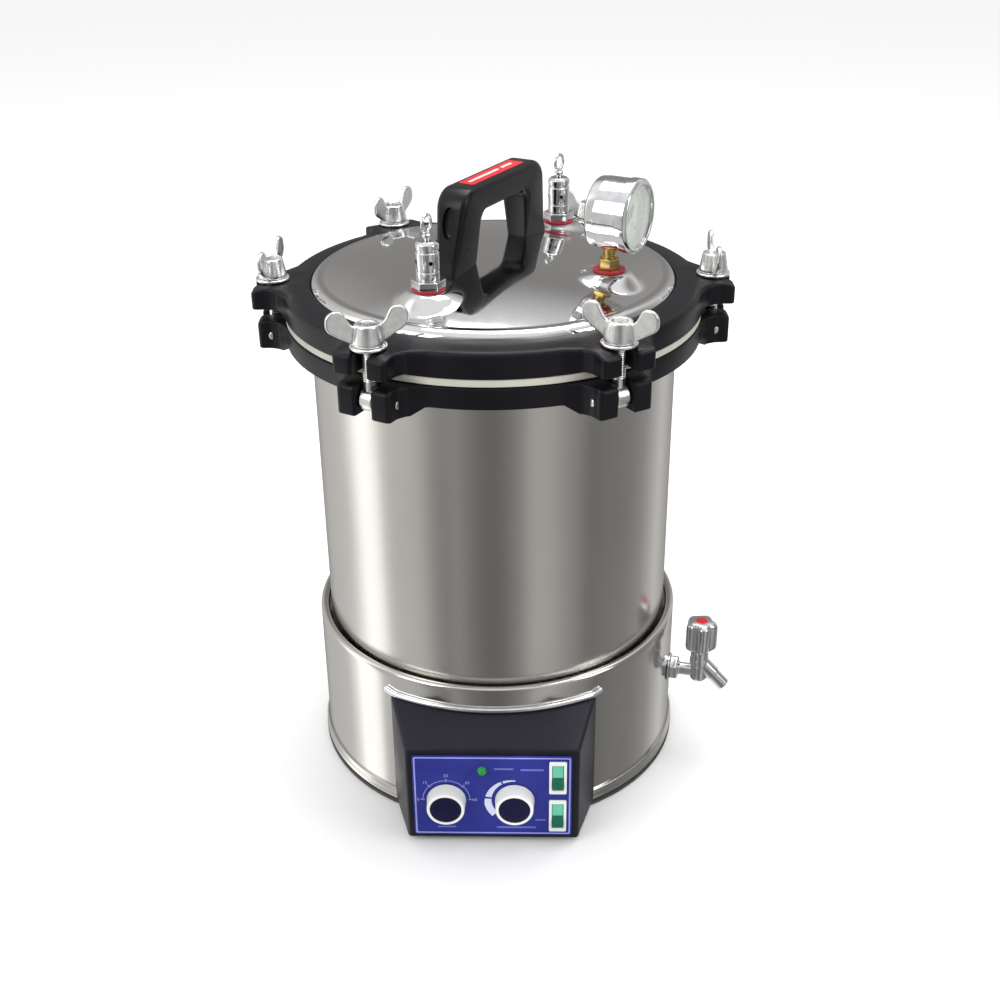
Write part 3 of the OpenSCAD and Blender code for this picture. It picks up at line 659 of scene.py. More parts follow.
def build_pins():
    pins = []
    for number in range(1, CLAMPS + 1):
        outline = rounded([(0, -PIN_HALF), (3.5, -PIN_HALF, 1.2), (3.5, PIN_HALF, 1.2), (0, PIN_HALF)],
                          closed=False)
        pins.append(turned("pin", outline, zinc, lying(at_clamp(number), PIN_R, PIN_Z), 40))
    done(join(pins, "hinge_pins_skin"), "base", "zinc", "hinge_pins")


def build_bolt(number):
    place = at_clamp(number)
    eye = turned("eye", rounded([
        (3.55, -EYE_HALF), (8.5, -EYE_HALF, 1.4), (8.5, EYE_HALF, 1.4), (3.55, EYE_HALF)]), zinc,
        lying(place, PIN_R, PIN_Z), 56)
    pitch, foot, top = 1.5, 386.0, 427.0
    sides, rings = 28, int((top - foot) / 0.3)
    verts, faces = [], []
    profile = [(z, 4.7) for z in (378.5, 382.0, 385.0)] + [
        (foot + (top - foot) * k / rings, None) for k in range(rings + 1)]
    for z, radius in profile:
        for k in range(sides):
            spin = 2 * math.pi * k / sides
            if radius is None:
                phase = (z / pitch - k / sides) % 1.0
                grown = 4.45 + 0.5 * (1 - abs(2 * phase - 1)) * min(1, (top - z) / 1.0 + 0.1)
            else:
                grown = radius
            verts.append((grown * math.cos(spin), grown * math.sin(spin), z))
    for i in range(len(profile) - 1):
        for k in range(sides):
            n = (k + 1) % sides
            faces.append([i * sides + k, i * sides + n, (i + 1) * sides + n, (i + 1) * sides + k])
    faces.append(list(range(sides))[::-1])
    faces.append([(len(profile) - 1) * sides + k for k in range(sides)])
    shank = new_piece("shank", verts, faces, zinc, place @ move(PIN_R, 0, 0), angle=50)
    bolt = join([eye, shank], f"eye_bolt_skin_{number}")
    done(bolt, f"bolt_{number}", "zinc", f"eye_bolt_{number}")
    washer = turned(f"washer_skin_{number}", rounded([
        (5.35, WASHER_Z), (13, WASHER_Z, 0.5), (13, WASHER_Z + 2, 0.9), (5.35, WASHER_Z + 2, 0.3)]), zinc,
        place @ move(PIN_R, 0, 0), 72)
    done(washer, f"washer_{number}", "zinc", f"washer_{number}")


def nut_template():
    hub = turned("hub", rounded([
        (0, NUT_Z), (11, NUT_Z, 0.8), (11, NUT_Z + 2.5, 1), (8.8, NUT_Z + 15, 1.2), (0, NUT_Z + 15)],
        closed=False), zinc, segments=64)
    wings = []
    for turn in (0, 180):
        outline = rounded([
            (4, NUT_Z + 1.5), (11.5, NUT_Z + 0.9, 3), (28.9, 424.6, 7.0), (28.6, 437.8, 7.0),
            (17.0, 438.2, 5.5), (11.5, 427.2, 8), (4, 424.4)])
        flank = Matrix.Rotation(rad(90), 4, "X")
        wings.append(plan_solid("wing", [outline], -1.75, 1.75, zinc, 1.1, turn_z(turn) @ flank, steps=3))
    combine(hub, wings)
    bore = turned("bore", [(0, NUT_Z - 2), (5.35, NUT_Z - 2), (5.35, NUT_Z + 20), (0, NUT_Z + 20)], zinc,
                  segments=48, closed=False)
    combine(hub, [bore], "DIFFERENCE")
    remesh(hub, 0.55, 6)
    hub.name = "nut_template"
    return hub


def build_nuts():
    template = nut_template()
    for number in range(1, CLAMPS + 1):
        nut = bpy.data.objects.new(f"wing_nut_skin_{number}", template.data.copy())
        bpy.context.scene.collection.objects.link(nut)
        place = at_clamp(number) @ move(PIN_R * MM, 0, 0)
        own = turn_z(NUT_TURNS[number - 1] - 60 * (number - 1))
        nut.data.transform(place @ own)
        nut.data.shade_smooth()
        done(nut, f"nut_{number}", "zinc", f"wing_nut_{number}")
    bpy.data.objects.remove(template)


# ----------------------------------------------------------------------- lid

FITTINGS = {"safety": -117.8, "gauge": -29.8, "release": 56.5}


def dome(radius):
    return 434 - 19.5 * (radius / DOME_R) ** 2


def boss_rise(x, y):
    """How far a raised boss lifts the dome here."""
    base = dome(math.hypot(x, y))
    for turn in FITTINGS.values():
        spin = rad(turn)
        away = math.hypot(x - FITTING_R * math.cos(spin), y - FITTING_R * math.sin(spin))
        if away < 27:
            return base + (430 - base) * (1 - smooth_step(12.6, 27, away))
    return base


def build_lid():
    segments = 480
    thick = 1.5
    outside = [2, 12, 24, 36, 48, 60] + [60 + 1.294 * k for k in range(1, 56)]
    shoulder = rounded([(LID_R - 9.6, dome(LID_R - 9.6)), (LID_R, 416.4, 8.0), (LID_R, 394)],
                       closed=False, step=8)
    outline = [(0, dome(0))] + [(r, dome(r)) for r in outside] + [(p.x, p.y) for p in shoulder[1:]]
    outline += [(LID_R, 393.0), (158.3, 393.0), (158.5, 392.8), (158.5, 391.7), (158.3, 391.5),
                (LID_R - thick, 391.5), (LID_R - thick, 410), (LID_R - 5.5, 413.2)]
    outline += [(r, dome(r) - thick) for r in (110, 60, 0)]
    top_rings = 1 + len(outside)
    lid = turned("lid_skin", outline, lid_mirror, turn_z(POT_TURN), segments, closed=False, angle=40)
    back = turn_z(-POT_TURN)
    reach = 1 + segments * (top_rings - 1)
    for vertex in list(lid.data.vertices)[:reach]:
        local = back @ vertex.co
        vertex.co.z = boss_rise(local.x / MM, local.y / MM) * MM
    done(lid, "lid", "lid_steel", "lid")
    gaskets = []
    for turn in FITTINGS.values():
        gaskets.append(turned("seal", rounded([
            (6.5, 430), (12, 430, 0.5), (12, 431.8, 0.5), (6.5, 431.8)]), red_silicone, at_fitting(turn), 64))
    done(join(gaskets, "fitting_gaskets_skin"), "lid", "seal_red", "fitting_gaskets")


def build_handle():
    def foot(u):
        return dome(u) - 1.2

    outline = rounded([
        (72, foot(72)), (68.8, 440, 20), (58.4, HANDLE_TOP, 16), (-58.4, HANDLE_TOP, 16), (-68.8, 440, 20),
        (-72, foot(72)),
        (-38, foot(38)), (-34.2, 471, 9), (34.2, 471, 9), (38, foot(38))], step=8)

    def half(u, z):
        return 8.0 + 4.5 * smooth_step(428, 470, z)

    def edge(u, z):
        return 1.0 + 3.6 * smooth_step(430, 446, z)

    upright = Matrix(((1, 0, 0, 0), (0, 0, 1, 0), (0, 1, 0, 0), (0, 0, 0, 1)))
    place = turn_z(POT_TURN + 60)
    grip = plan_solid("handle_skin", [anticlockwise(outline)],
                      lambda u, z: -half(u, z), half, handle_plastic, edge, place @ upright, steps=6)
    for side in (0, 180):
        pit = rounded([(0, -3), (5, -3, 1.2), (5.6, 6), (0, 6)], closed=False)
        cut = turned("recess", pit, handle_plastic,
                     place @ turn_z(side) @ move(62.0, 0, 468) @ Matrix.Rotation(rad(78), 4, "Y")
                     @ Matrix.Diagonal((2.2, 1, 1, 1)), 40)
        combine(grip, [cut], "DIFFERENCE")
    grip.data.shade_smooth()
    grip.data.set_sharp_from_angle(angle=rad(35))
    done(grip, "lid", "handle_black", "handle")
    label = plan_solid("handle_label", [rectangle(-38, 38, -6.6, 6.6, 2)], HANDLE_TOP - 0.1,
                       HANDLE_TOP + 0.35, label_red, 0.1, place, steps=2)
    done(label, "lid", "handle_black")
    for letter, start, end in (("a", -33, 10), ("b", 15, 30)):
        pale = plan_solid(f"label_band_{letter}", [rectangle(start, end, -1.2, 1.6, 0.5)], HANDLE_TOP + 0.2,
                          HANDLE_TOP + 0.45, label_pale, 0.04, place, steps=2)
        done(pale, "lid", "handle_black")


def anticlockwise(loop):
    area = sum(a.x * b.y - b.x * a.y for a, b in zip(loop, loop[1:] + loop[:1])) / 2
    return loop if area > 0 else loop[::-1]


# ------------------------------------------------------------- valves, gauge


def build_valve(kind):
    place = at_fitting(FITTINGS[kind])
    z0 = FITTING_Z
    hexagon = plan_solid("hexagon", [polygon(12.6, 6, 1.2), circle(6, 48)], z0, z0 + 6, chrome, 0.7, place)
    outline = rounded([
        (3, z0 - 14), (6.5, z0 - 14, 0.5), (6.5, z0 + 1), (6.6, z0 + 6), (8.6, z0 + 6.1, 0.6),
        (8.6, z0 + 12, 0.3), (8.2, z0 + 12.4, 0.2), (8.2, z0 + 13.2, 0.2), (8.6, z0 + 13.6, 0.3),
        (8.6, z0 + 26, 0.4), (8.0, z0 + 26.5, 0.3), (8.0, z0 + 27.8, 0.3), (8.6, z0 + 28.3, 0.4),
        (8.6, z0 + 32, 1.2), (6.6, z0 + 34, 1.0), (2.7, z0 + 34), (2.7, z0 + 31), (6.2, z0 + 31),
        (6.2, z0 + 5), (3, z0 + 5)])
    barrel = turned("barrel", outline, chrome, place, 72)
    for turn in (0, 90, 180, 270):
        cut = turned("port", [(0, 5), (1.6, 5), (1.6, 12), (0, 12)], chrome,
                     place @ move(0, 0, z0 + 19.5) @ turn_z(turn + 45) @ Matrix.Rotation(rad(90), 4, "Y"), 20)
        combine(barrel, [cut], "DIFFERENCE")
    body = join([barrel, hexagon], f"{kind}_body_skin")
    body.data.shade_smooth()
    body.data.set_sharp_from_angle(angle=rad(35))
    done(body, "lid", "valve_chrome", f"{kind}_body")
    seat = z0 + 5.1
    stem = turned("stem", rounded([
        (0, seat), (5.6, seat, 0.4), (5.6, seat + 2.4, 0.4), (2.2, seat + 2.4), (2.2, z0 + 36, 0.3),
        (3.4, z0 + 36.4, 0.4), (3.4, z0 + 38.4, 0.8), (2.2, z0 + 39.2, 0.4), (2.2, z0 + 40.5, 0.4),
        (0, z0 + 40.8)], closed=False), chrome, place, 40)
    hoop = [Vector((p.x, 0, z0 + 45.95 + p.y)) for p in circle(6, 40)]
    ring = tube("ring", hoop, 1.2, chrome, closed=True, matrix=place)
    done(join([stem, ring], f"{kind}_stem_skin"), f"{kind}_pull", "valve_chrome", f"{kind}_stem")


def build_gauge():
    place = at_fitting(FITTINGS["gauge"])
    z0 = FITTING_Z
    nut = plan_solid("nut", [polygon(8.2, 6, 0.8), circle(4.5, 40)], z0, z0 + 8, brass, 0.6, place)
    neck = turned("neck", rounded([
        (2, z0 - 14), (6.5, z0 - 14, 0.5), (6.5, z0), (5.6, z0 + 7.9), (5.6, z0 + 9.5, 0.4),
        (4.6, z0 + 10, 0.4), (4.6, z0 + 11.5, 0.4), (5, z0 + 12), (5, z0 + 17), (2, z0 + 17)]),
        brass, place, 48)
    done(join([neck, nut], "gauge_fitting_skin"), "lid", "brass", "gauge_fitting")
    facing = place @ move(0, 0, GAUGE_Z) @ Matrix.Rotation(rad(90), 4, "Y")
    case = turned("gauge_case_skin", rounded([
        (0, -10), (25.5, -10, 2.5), (26.2, -2, 1), (26.2, 14.5, 0.4), (26.98, 15.0, 0.5),
        (26.98, 21.5, 1.5), (25.2, 23.5, 1.2), (23, 23.3, 0.8), (22.6, 21.0), (25.4, 21), (25.4, 20),
        (25.4, 13), (25.4, 12), (25.4, -8), (0, -8)],
        closed=False), chrome, facing, 128)
    done(case, "lid", "valve_chrome", "gauge_case")
    dial = turned("dial", rounded([
        (1.55, 12), (25.4, 12), (25.4, 12.9), (1.55, 12.9)]), dial_paper, facing, 96)
    ink = [dial]
    # On the dial, +X of the facing frame is down and +Y is the reader's right seen from the front
    for k in range(0, 41):
        turn = rad(-135 + 270 * k / 40)
        long = k % 10 == 0
        outer, inner, half = 20.6, 16.6 if long else (17.8 if k % 5 == 0 else 18.8), 0.32 if long else 0.16
        line = rectangle(-outer, -inner, -half, half)[::-1]
        ink.append(plan_solid("tick", [line], 12.8, 13.0, dial_ink, 0.03,
                              facing @ Matrix.Rotation(-turn, 4, "Z"), steps=1))
    band = panel_band(0, 0, 20.5, 21.0, 45, 315, steps=48)
    ink.append(plan_solid("scale", [band], 12.8, 12.98, dial_ink, 0.03, facing, steps=1))
    for k, word in enumerate(("0", "0.1", "0.2", "0.3", "0.4")):
        turn = rad(-135 + 270 * k / 4)
        at = (-13.0 * math.cos(turn), 13.0 * math.sin(turn))
        ink.append(lettering(word, 4.2, dial_ink, facing @ move(at[0], at[1], 12.85)
                             @ Matrix(((0, -1, 0, 0), (1, 0, 0, 0), (0, 0, 1, 0), (0, 0, 0, 1))), 0.1))
    done(join(ink, "gauge_dial_skin"), "lid", "dial_face", "gauge_dial")
    blade = rounded([(-8, -1.5, 0.6), (0, -2), (18, -0.4), (18, 0.4), (0, 2), (-8, 1.5, 0.6)])
    pointer = plan_solid("blade", [blade], 15, 15.8, dial_ink, 0.1, facing @ turn_z(-45), steps=1)
    boss = turned("boss", rounded([(0, 9), (1.5, 9), (1.5, 14.9), (3, 15, 0.3), (3, 16, 0.4), (0, 16.1)],
                                  closed=False), dial_ink, facing, 32)
    done(join([boss, pointer], "gauge_needle_skin"), "needle", "needle_black", "gauge_needle")
    disc = rounded([(0, 20), (25.3, 20, 0.2), (25.3, 21, 0.2), (0, 21)], closed=False)
    pane = turned("gauge_glass_skin", disc, glass, facing, 96)
    done(pane, "lid", "glass", "gauge_glass")


def lettering(words, size, material, matrix, depth):
    """Raised figures, centred on the matrix's place."""
    curve = bpy.data.curves.new("words", "FONT")
    curve.body = words
    curve.size = size
    curve.align_x = "CENTER"
    curve.align_y = "CENTER"
    curve.extrude = depth
    curve.resolution_u = 3
    holder = bpy.data.objects.new("words", curve)
    bpy.context.scene.collection.objects.link(holder)
    mesh = bpy.data.meshes.new_from_object(holder.evaluated_get(bpy.context.evaluated_depsgraph_get()))
    bpy.data.objects.remove(holder)
    piece = bpy.data.objects.new("figures", mesh)
    bpy.context.scene.collection.objects.link(piece)
    mesh.materials.clear()
    mesh.materials.append(material)
    finish_mesh(piece, matrix, flat=True)
    return piece


# --------------------------------------------------------------- control box


def on_panel(x, z, out=0.0):
    """Places a shape drawn facing +Z so that it faces the reader, its X to the right and its Y up."""
    turn = Matrix(((1, 0, 0, 0), (0, 0, -1, 0), (0, 1, 0, 0), (0, 0, 0, 1)))
    return move(x, PANEL_Y - out, z) @ turn


def build_box():
    steps = 32
    half_f, half_b, depth, reach = 67.3, 82.0, 178.0, 152.1

    def edge_line(half, z, back):
        line = []
        for k in range(steps + 1):
            x = -half + 2 * half * k / steps
            line.append((x, -math.sqrt(reach * reach - x * x) if back else -depth, z))
        return line

    verts = edge_line(half_f, 4, False) + edge_line(half_f, 90.4, False)
    verts += edge_line(half_b, 109, True) + edge_line(half_b, 4, True)
    n = steps + 1
    faces = []
    for k in range(4):
        for i in range(steps):
            a, b = k * n + i, (k + 1) % 4 * n + i
            faces.append([a, b, b + 1, a + 1])
    faces.append([3 * n, 2 * n, n, 0])
    faces.append([steps, n + steps, 2 * n + steps, 3 * n + steps])
    box = new_piece("control_box_skin", verts, faces, box_paint)
    bevel(box, 2.6, 4, 35)
    done(box, "base", "box_black", "control_box")
    bead = []
    for k in range(65):
        x = -85.5 + 171 * k / 64
        lift = 2.2 * smooth_step(78, 85.5, abs(x))
        bead.append(Vector((x, -math.sqrt(153.4 ** 2 - x * x), 110.2 + lift)))
    trim = tube("box_trim", bead, 2.3, trim_chrome, sides=16)
    done(trim, "base", "stainless")


def build_panel():
    outline = rectangle(-62, 62, -38.7, 38.7, 2)
    middle = 47.7
    w, h = 5.8, 14.5
    holes = [rectangle(SWITCH_X - w, SWITCH_X + w, z - middle - h, z - middle + h) for z in SWITCH_Z]
    plate = plan_solid("front_panel_skin", [outline] + holes, -1.5, -0.15, panel_ink, 0.3,
                       on_panel(0, middle))
    done(plate, "base", "panel_blue", "front_panel")
    ink = []

    def print_shape(loop, material=print_lilac, holes=()):
        loops = [anticlockwise(loop), *holes]
        ink.append(plan_solid("ink", loops, -0.2, -0.05, material, 0.02, on_panel(0, 0), steps=1))

    print_shape(rectangle(-60.9, 60.9, 10.2, 85.2, 1.5), print_lilac,
                [rectangle(-59.7, 59.7, 11.4, 84.0, 1.0)])
    # Timer scale: a thin arc over the knob, with ticks and figures
    print_shape(panel_band(TIMER_X, KNOB_Z, 18.2, 18.7, 0, 180))
    for word, turn in (("60", 0), ("45", 45), ("30", 90), ("15", 135), ("0", 180)):
        print_shape(panel_tick(TIMER_X, KNOB_Z, 17.0, 20.4, turn, 0.35))
        along = 22.2 if turn in (0, 180) else 23.4
        x, z = TIMER_X + along * math.cos(rad(turn)), KNOB_Z + along * math.sin(rad(turn))
        ink.append(lettering(word, 3.9, print_lilac, on_panel(x, z, 0.05), 0.03))
    # Temperature scale: a band that widens towards the lower left, in white segments
    for start, end in ((88, 118), (122, 172), (177, 222)):
        wedge = panel_wedge(TEMP_X, KNOB_Z, 18.2, start, end)
        ink.append(plan_solid("ink", [wedge], -0.2, -0.05, print_white, 0.02, on_panel(0, 0), steps=1))
    # Plain bars stand in for the printed words
    for x0, x1, z, tall, tone in ((1.5, 16.5, 74.2, 1.8, print_faint), (22, 40, 73.4, 1.8, print_faint),
                                  (3, 34, 16.6, 1.7, print_faint), (-43.5, -29, 16.8, 1.6, print_faint),
                                  (33.5, 42, 24.2, 1.5, print_faint)):
        print_shape(rectangle(x0, x1, z - tall / 2, z + tall / 2, 0.6), tone)
    done(join(ink, "panel_print"), "base", "panel_blue")


def panel_band(x, z, inner, outer, start, end, steps=60):
    out = []
    for radius, order in ((outer, range(steps + 1)), (inner, range(steps, -1, -1))):
        for k in order:
            turn = rad(start + (end - start) * k / steps)
            out.append(Vector((x + radius * math.cos(turn), z + radius * math.sin(turn))))
    return out


def panel_tick(x, z, inner, outer, turn, half):
    along = Vector((math.cos(rad(turn)), math.sin(rad(turn))))
    across = Vector((-along.y, along.x)) * half
    at = Vector((x, z))
    return [at + along * inner - across, at + along * outer - across, at + along * outer + across,
            at + along * inner + across]


def panel_wedge(x, z, inner, start, end, steps=10):
    """A segment of the temperature scale: its outer edge moves out as the angle grows."""
    out = []
    for k in range(steps + 1):
        turn = start + (end - start) * k / steps
        outer = inner + 1.2 + 4.6 * min(1, (turn - 95) / 95)
        out.append(Vector((x + outer * math.cos(rad(turn)), z + outer * math.sin(rad(turn)))))
    for k in range(steps, -1, -1):
        turn = start + (end - start) * k / steps
        out.append(Vector((x + inner * math.cos(rad(turn)), z + inner * math.sin(rad(turn)))))
    return out


def build_knob(body, x, prefix):
    place = on_panel(x, KNOB_Z, 0.35)
    skirt = turned("skirt", rounded([
        (0, -14), (3, -14, 0.5), (3, 0), (15.5, 0, 0.5), (15.1, 4.5, 2), (14.6, 12.5, 0.9),
        (12.35, 12.5, 0.4), (12.3, 10.5), (0, 10.5)], closed=False), white_plastic, place, 240)
    done(skirt, body, "knob_white", f"{prefix}_knob")
    cap = turned(f"{prefix}_cap_skin", rounded([
        (0, 10.5), (12.2, 10.5), (12.2, 12.2, 0.5), (8, 12.65, 8), (0, 12.8)], closed=False),
        navy_plastic, place, 96)
    done(cap, body, "knob_navy", f"{prefix}_cap")
    skirt.name = f"{prefix}_knob_skin"


def build_switch(z, rocker_node, body):
    place = on_panel(SWITCH_X, z)
    mouth = rectangle(-4.55, 4.55, -11.9, 11.9, 0.5)
    rim = plan_solid("rim", [rectangle(-6.8, 6.8, -15.5, 15.5, 1.2), mouth], 0, 1.5, switch_plastic, 0.45,
                     place)
    well = plan_solid("well", [rectangle(-5.8, 5.8, -14.5, 14.5, 0.3), mouth], -14, 0.05, switch_plastic, 0.1,
                      place)
    # The rocker's side outline is drawn in (outward, up), then tipped about its pivot
    tip = move(SWITCH_X, PANEL_Y + 3, z) @ Matrix.Rotation(rad(-9), 4, "X")
    sideways = Matrix(((0, 0, 1, 0), (-1, 0, 0, 0), (0, 1, 0, 0), (0, 0, 0, 1)))
    halves = []
    # The upper half takes the paler mint as painted light and the lower half the darker green as painted
    # shade.
    for sign, material in ((1, painted_light_mint_plastic), (-1, painted_shade_green_plastic)):
        points = [(5.4, 10.6 * sign, 0.6), (2, 10.6 * sign, 0.6), (-4, 3 * sign, 0.6), (-4, 0), (4.2, 0)]
        loop = anticlockwise(rounded(points))
        halves.append(plan_solid("half", [loop], -4.2, 4.2, material, 0.35, tip @ sideways, steps=3))
    rocker = join(halves, f"{rocker_node}_skin")
    done(rocker, body, "rocker_green", rocker_node)
    return [rim, well]


def build_controls():
    build_knob("timer_dial", TIMER_X, "timer")
    build_knob("temp_dial", TEMP_X, "temp")
    upper, lower = SWITCH_Z
    parts = build_switch(upper, "rocker_upper", "upper_switch")
    parts += build_switch(lower, "rocker_lower", "lower_switch")
    done(join(parts, "switch_frames_skin"), "base", "switch_white", "switch_frames")
    lamp = turned("panel_lamp_skin", rounded([
        (0, -8), (3, -8), (3, 0), (3.7, 0), (3.7, 1, 0.3), (3.3, 1.2, 0.3), (2.6, 3.4, 1.4), (0, 4.3)],
        closed=False), lamp_plastic, on_panel(-7.8, 73), 48)
    done(lamp, "base", "lamp_green", "panel_lamp")


# ----------------------------------------------------------------------- tap


def build_tap():
    place = turn_z(TAP_TURN)
    out = Matrix.Rotation(rad(90), 4, "Y")
    flange = turned("flange", rounded([(5.8, 0), (12, 0, 0.4), (12, 1.5, 0.6), (5.8, 1.5)]), satin_chrome,
                    place @ move(SHELL_R, 0, TAP_Z) @ out, 64)
    nut = plan_solid("nut", [polygon(10.5, 6, 1), circle(5.8, 48)], 1.5, 8, satin_chrome, 0.8,
                     place @ move(SHELL_R, 0, TAP_Z) @ out)
    done(join([flange, nut], "tap_nut_skin"), "base", "tap_chrome", "tap_nut")
    pipe = turned("pipe", rounded([
        (3.8, 118), (5.8, 118), (5.8, 161), (5.2, 162, 0.5), (5.2, 176), (3.8, 176)]), satin_chrome,
        place @ move(0, 0, TAP_Z) @ out, 56)
    barrel = turned("barrel", rounded([
        (0, 63.5), (6.2, 63.5, 1.5), (7.5, 66, 1.5), (7.5, 78, 0.8), (8.1, 79, 0.6), (8.1, 83.5, 0.6),
        (7.5, 84.5, 0.8), (7.5, 89.5, 0.8), (6.4, 92, 0.8), (3.1, 92), (3.1, 75), (0, 75)], closed=False),
        satin_chrome, place @ move(TAP_R, 0, 0), 72)
    spout_place = place @ move(TAP_R, 0, 82) @ Matrix.Rotation(rad(135), 4, "Y")
    spout = turned("spout", rounded([
        (0, 0), (6.3, 0), (6.3, 17.5, 0.5), (5.5, 17.7, 0.3), (5.5, 31, 0.6), (4, 31, 0.4), (4, 8),
        (0, 8)], closed=False), satin_chrome, spout_place, 56)
    body = join([barrel, pipe, spout], "tap_body_skin")
    done(body, "base", "tap_chrome", "tap_body")
    lobes, count = 5, 240
    levels = [(0.60, 92.6), (0.70, 92.8), (0.86, 94.2), (0.97, 96.2), (1.0, 98.2), (1.0, 114.5),
              (0.985, 117.2), (0.93, 119.4), (0.82, 120.8), (0.66, 121.4)]
    verts, faces = [], []
    for share, z in levels:
        wave_share = smooth_step(0.7, 1.0, share)
        for k in range(count):
            spin = 2 * math.pi * k / count
            ripple = (0.5 + 0.5 * math.cos(lobes * spin)) ** 0.7
            radius = (10.6 + 3.1 * ripple * wave_share) * share
            verts.append((radius * math.cos(spin), radius * math.sin(spin), z))
    for i in range(len(levels) - 1):
        for k in range(count):
            n = (k + 1) % count
            faces.append([i * count + k, i * count + n, (i + 1) * count + n, (i + 1) * count + k])
    faces.append(list(range(count))[::-1])
    faces.append([(len(levels) - 1) * count + k for k in range(count)])
    knob = new_piece("knob", verts, faces, satin_chrome, place @ move(TAP_R, 0, 0), angle=50)
    spindle = turned("spindle", rounded([(0, 75), (3, 75), (3, 93), (0, 93)], closed=False), satin_chrome,
                     place @ move(TAP_R, 0, 0), 32)
    done(join([knob, spindle], "tap_knob_skin"), "tap_handle", "tap_chrome", "tap_knob")
    cap = turned("tap_cap", rounded([(0, 121.1), (5.2, 121.1), (5.2, 121.4, 0.1), (0, 121.5)], closed=False),
                 label_red, place @ move(TAP_R, 0, 0), 48)
    done(cap, "tap_handle", "seal_red")


# ------------------------------------------------------ carried-over nodes

CARRIED = {
    "foot_ring": rubber, "heater": heater_metal, "cable_gland": black_plastic, "timer_unit": grey_plastic,
    "thermostat_unit": grey_plastic, "drain_pipe": inner_steel, "safety_spring": spring_metal,
    "release_spring": spring_metal, "basket": inner_steel, "trivet": inner_steel,
}


def carry_over():
    for name, material in CARRIED.items():
        mesh = nodes[name].data
        if not mesh.materials:
            mesh.materials.append(material)
        for index in range(len(mesh.materials)):
            mesh.materials[index] = material


build_base()
build_pot()
build_rings()
build_pins()
for clamp_number in range(1, CLAMPS + 1):
    build_bolt(clamp_number)
build_nuts()
build_lid()
build_handle()
for valve in ("safety", "release"):
    build_valve(valve)
build_gauge()
build_box()
build_panel()
build_controls()
build_tap()
carry_over()


# ------------------------------------------------------------ studio, camera


# Tones of the studio by compass direction in degrees, as the polished steel mirrors them
STUDIO = (
    (-180, 1.75), (-173, 1.6), (-168, 0.78), (-160, 0.66), (-146, 0.68), (-138, 0.6), (-131, 0.38),
    (-122, 0.28), (-115, 0.4), (-108, 0.28), (-100, 0.21), (-92, 0.17), (-85, 0.19), (-78, 0.26),
    (-71, 0.34), (-65, 0.56), (-56, 0.56), (-48, 0.47), (-40, 0.38), (-32, 0.32), (-24, 0.2), (-13, 0.25),
    (8, 0.28), (25, 0.38), (47, 0.75), (60, 0.5), (80, 0.28), (105, 0.28), (125, 0.6), (157, 0.78),
    (166, 1.2), (171, 1.75),
)


def background(tree, colour=(1, 1, 1), strength=1.0):
    shader = tree.nodes.new("ShaderNodeBackground")
    shader.inputs["Color"].default_value = (*colour, 1)
    shader.inputs["Strength"].default_value = strength
    return shader


def blend_shaders(tree, share, first, second):
    mix = tree.nodes.new("ShaderNodeMixShader")
    tree.links.new(share, mix.inputs[0])
    tree.links.new(first.outputs[0], mix.inputs[1])
    tree.links.new(second.outputs[0], mix.inputs[2])
    return mix


def compass(tree, split):
    """A background whose brightness follows STUDIO. split gives the direction's X, Y and Z."""
    angle = tree.nodes.new("ShaderNodeMath")
    angle.operation = "ARCTAN2"
    tree.links.new(split.outputs["Y"], angle.inputs[0])
    tree.links.new(split.outputs["X"], angle.inputs[1])
    share = tree.nodes.new("ShaderNodeMapRange")
    share.inputs["From Min"].default_value = -math.pi
    share.inputs["From Max"].default_value = math.pi
    tree.links.new(angle.outputs[0], share.inputs["Value"])
    ramp = tree.nodes.new("ShaderNodeValToRGB")
    elements = ramp.color_ramp.elements
    while len(elements) > 1:
        elements.remove(elements[-1])
    for number, (degrees, tone) in enumerate(STUDIO):
        at = (degrees + 180) / 360
        element = elements[0] if number == 0 else elements.new(at)
        element.position = at
        element.color = (tone, tone * 0.985, tone * 0.965, 1)
    tree.links.new(share.outputs["Result"], ramp.inputs["Fac"])
    shader = background(tree)
    tree.links.new(ramp.outputs["Color"], shader.inputs["Color"])
    return shader


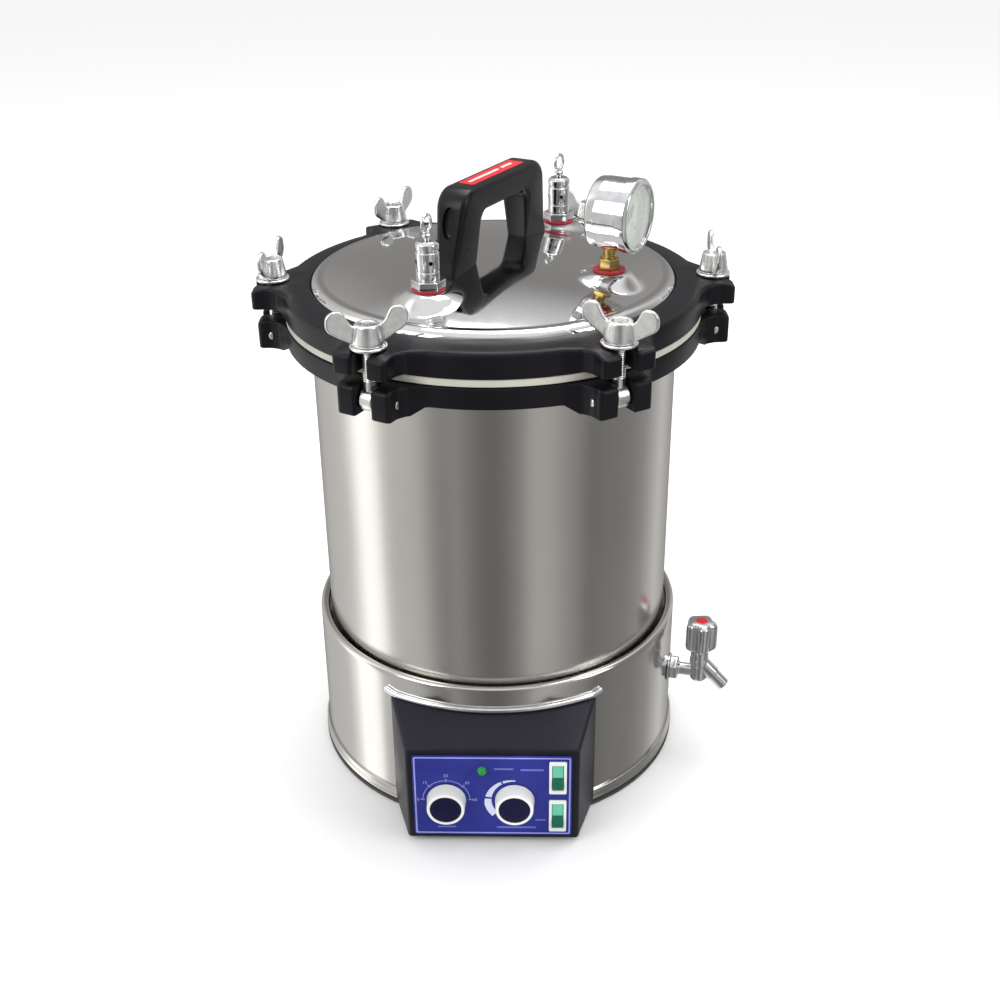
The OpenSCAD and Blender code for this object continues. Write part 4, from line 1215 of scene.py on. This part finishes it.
def build_studio():
    """A pale floor in an even light. Only mirror reflections see the compass tones and the ceiling."""
    reach = 20000
    corners = [(-reach, -reach, -0.4), (reach, -reach, -0.4), (reach, reach, -0.4), (-reach, reach, -0.4)]
    floor = new_piece("floor", corners, [[0, 1, 2, 3]], new_material("floor", (0.86, 0.86, 0.86), 0.0, 0.9))
    floor.visible_glossy = False
    world = bpy.data.worlds.new("studio")
    bpy.context.scene.world = world
    world.use_nodes = True
    tree = world.node_tree
    tree.nodes.clear()
    where = tree.nodes.new("ShaderNodeTexCoord")
    split = tree.nodes.new("ShaderNodeSeparateXYZ")
    tree.links.new(where.outputs["Generated"], split.inputs[0])
    upward = tree.nodes.new("ShaderNodeMapRange")
    upward.interpolation_type = "SMOOTHSTEP"
    upward.inputs["From Min"].default_value = 0.55
    upward.inputs["From Max"].default_value = 0.85
    tree.links.new(split.outputs["Z"], upward.inputs["Value"])
    ceiling = background(tree, (0.97, 0.97, 1.0))
    room = blend_shaders(tree, upward.outputs["Result"], compass(tree, split), ceiling)
    path = tree.nodes.new("ShaderNodeLightPath")
    plain = background(tree, (0.95, 0.95, 0.95), 1.12)
    mix = blend_shaders(tree, path.outputs["Is Glossy Ray"], plain, room)
    end = tree.nodes.new("ShaderNodeOutputWorld")
    tree.links.new(mix.outputs[0], end.inputs[0])


def area_light(name, place, target, size, power, tone=(1, 1, 1)):
    data = bpy.data.lights.new(name, "AREA")
    data.shape = "RECTANGLE"
    data.size, data.size_y = size
    data.energy = power
    data.color = tone
    light = bpy.data.objects.new(name, data)
    bpy.context.scene.collection.objects.link(light)
    light.location = place
    light.rotation_euler = (Vector(target) - Vector(place)).to_track_quat("-Z", "Y").to_euler()
    light.visible_camera = False
    return light


def build_camera():
    pitch, yaw, roll = rad(27.58), rad(0.186), rad(-0.684)
    ahead = Vector((math.sin(yaw) * math.cos(pitch), math.cos(yaw) * math.cos(pitch), -math.sin(pitch)))
    right = Vector((math.cos(yaw), -math.sin(yaw), 0))
    up = right.cross(ahead)
    side = right * math.cos(roll) + up * math.sin(roll)
    top = up * math.cos(roll) - right * math.sin(roll)
    place = Matrix.Identity(4)
    for row in range(3):
        place[row][0], place[row][1], place[row][2] = side[row], top[row], -ahead[row]
    place[1][3], place[2][3] = -1.022952, 0.749072
    data = bpy.data.cameras.new("camera")
    data.sensor_width = 36
    data.lens = 36 * 1373.656 / 1000
    data.clip_end = 100
    camera = bpy.data.objects.new("camera", data)
    bpy.context.scene.collection.objects.link(camera)
    camera.matrix_world = turn_z(POT_TURN) @ place
    bpy.context.scene.camera = camera


build_studio()
area_light("overhead", (0.2, 0.5, 2.2), (0, 0, 0.3), (1.6, 1.2), 26)
area_light("left_front", (-1.6, -1.4, 1.6), (0, 0, 0.3), (1.0, 1.4), 14)
area_light("right_front", (1.8, -0.9, 1.3), (0, 0, 0.3), (0.7, 1.2), 8)
build_camera()
bpy.context.scene.view_settings.view_transform = "Standard"
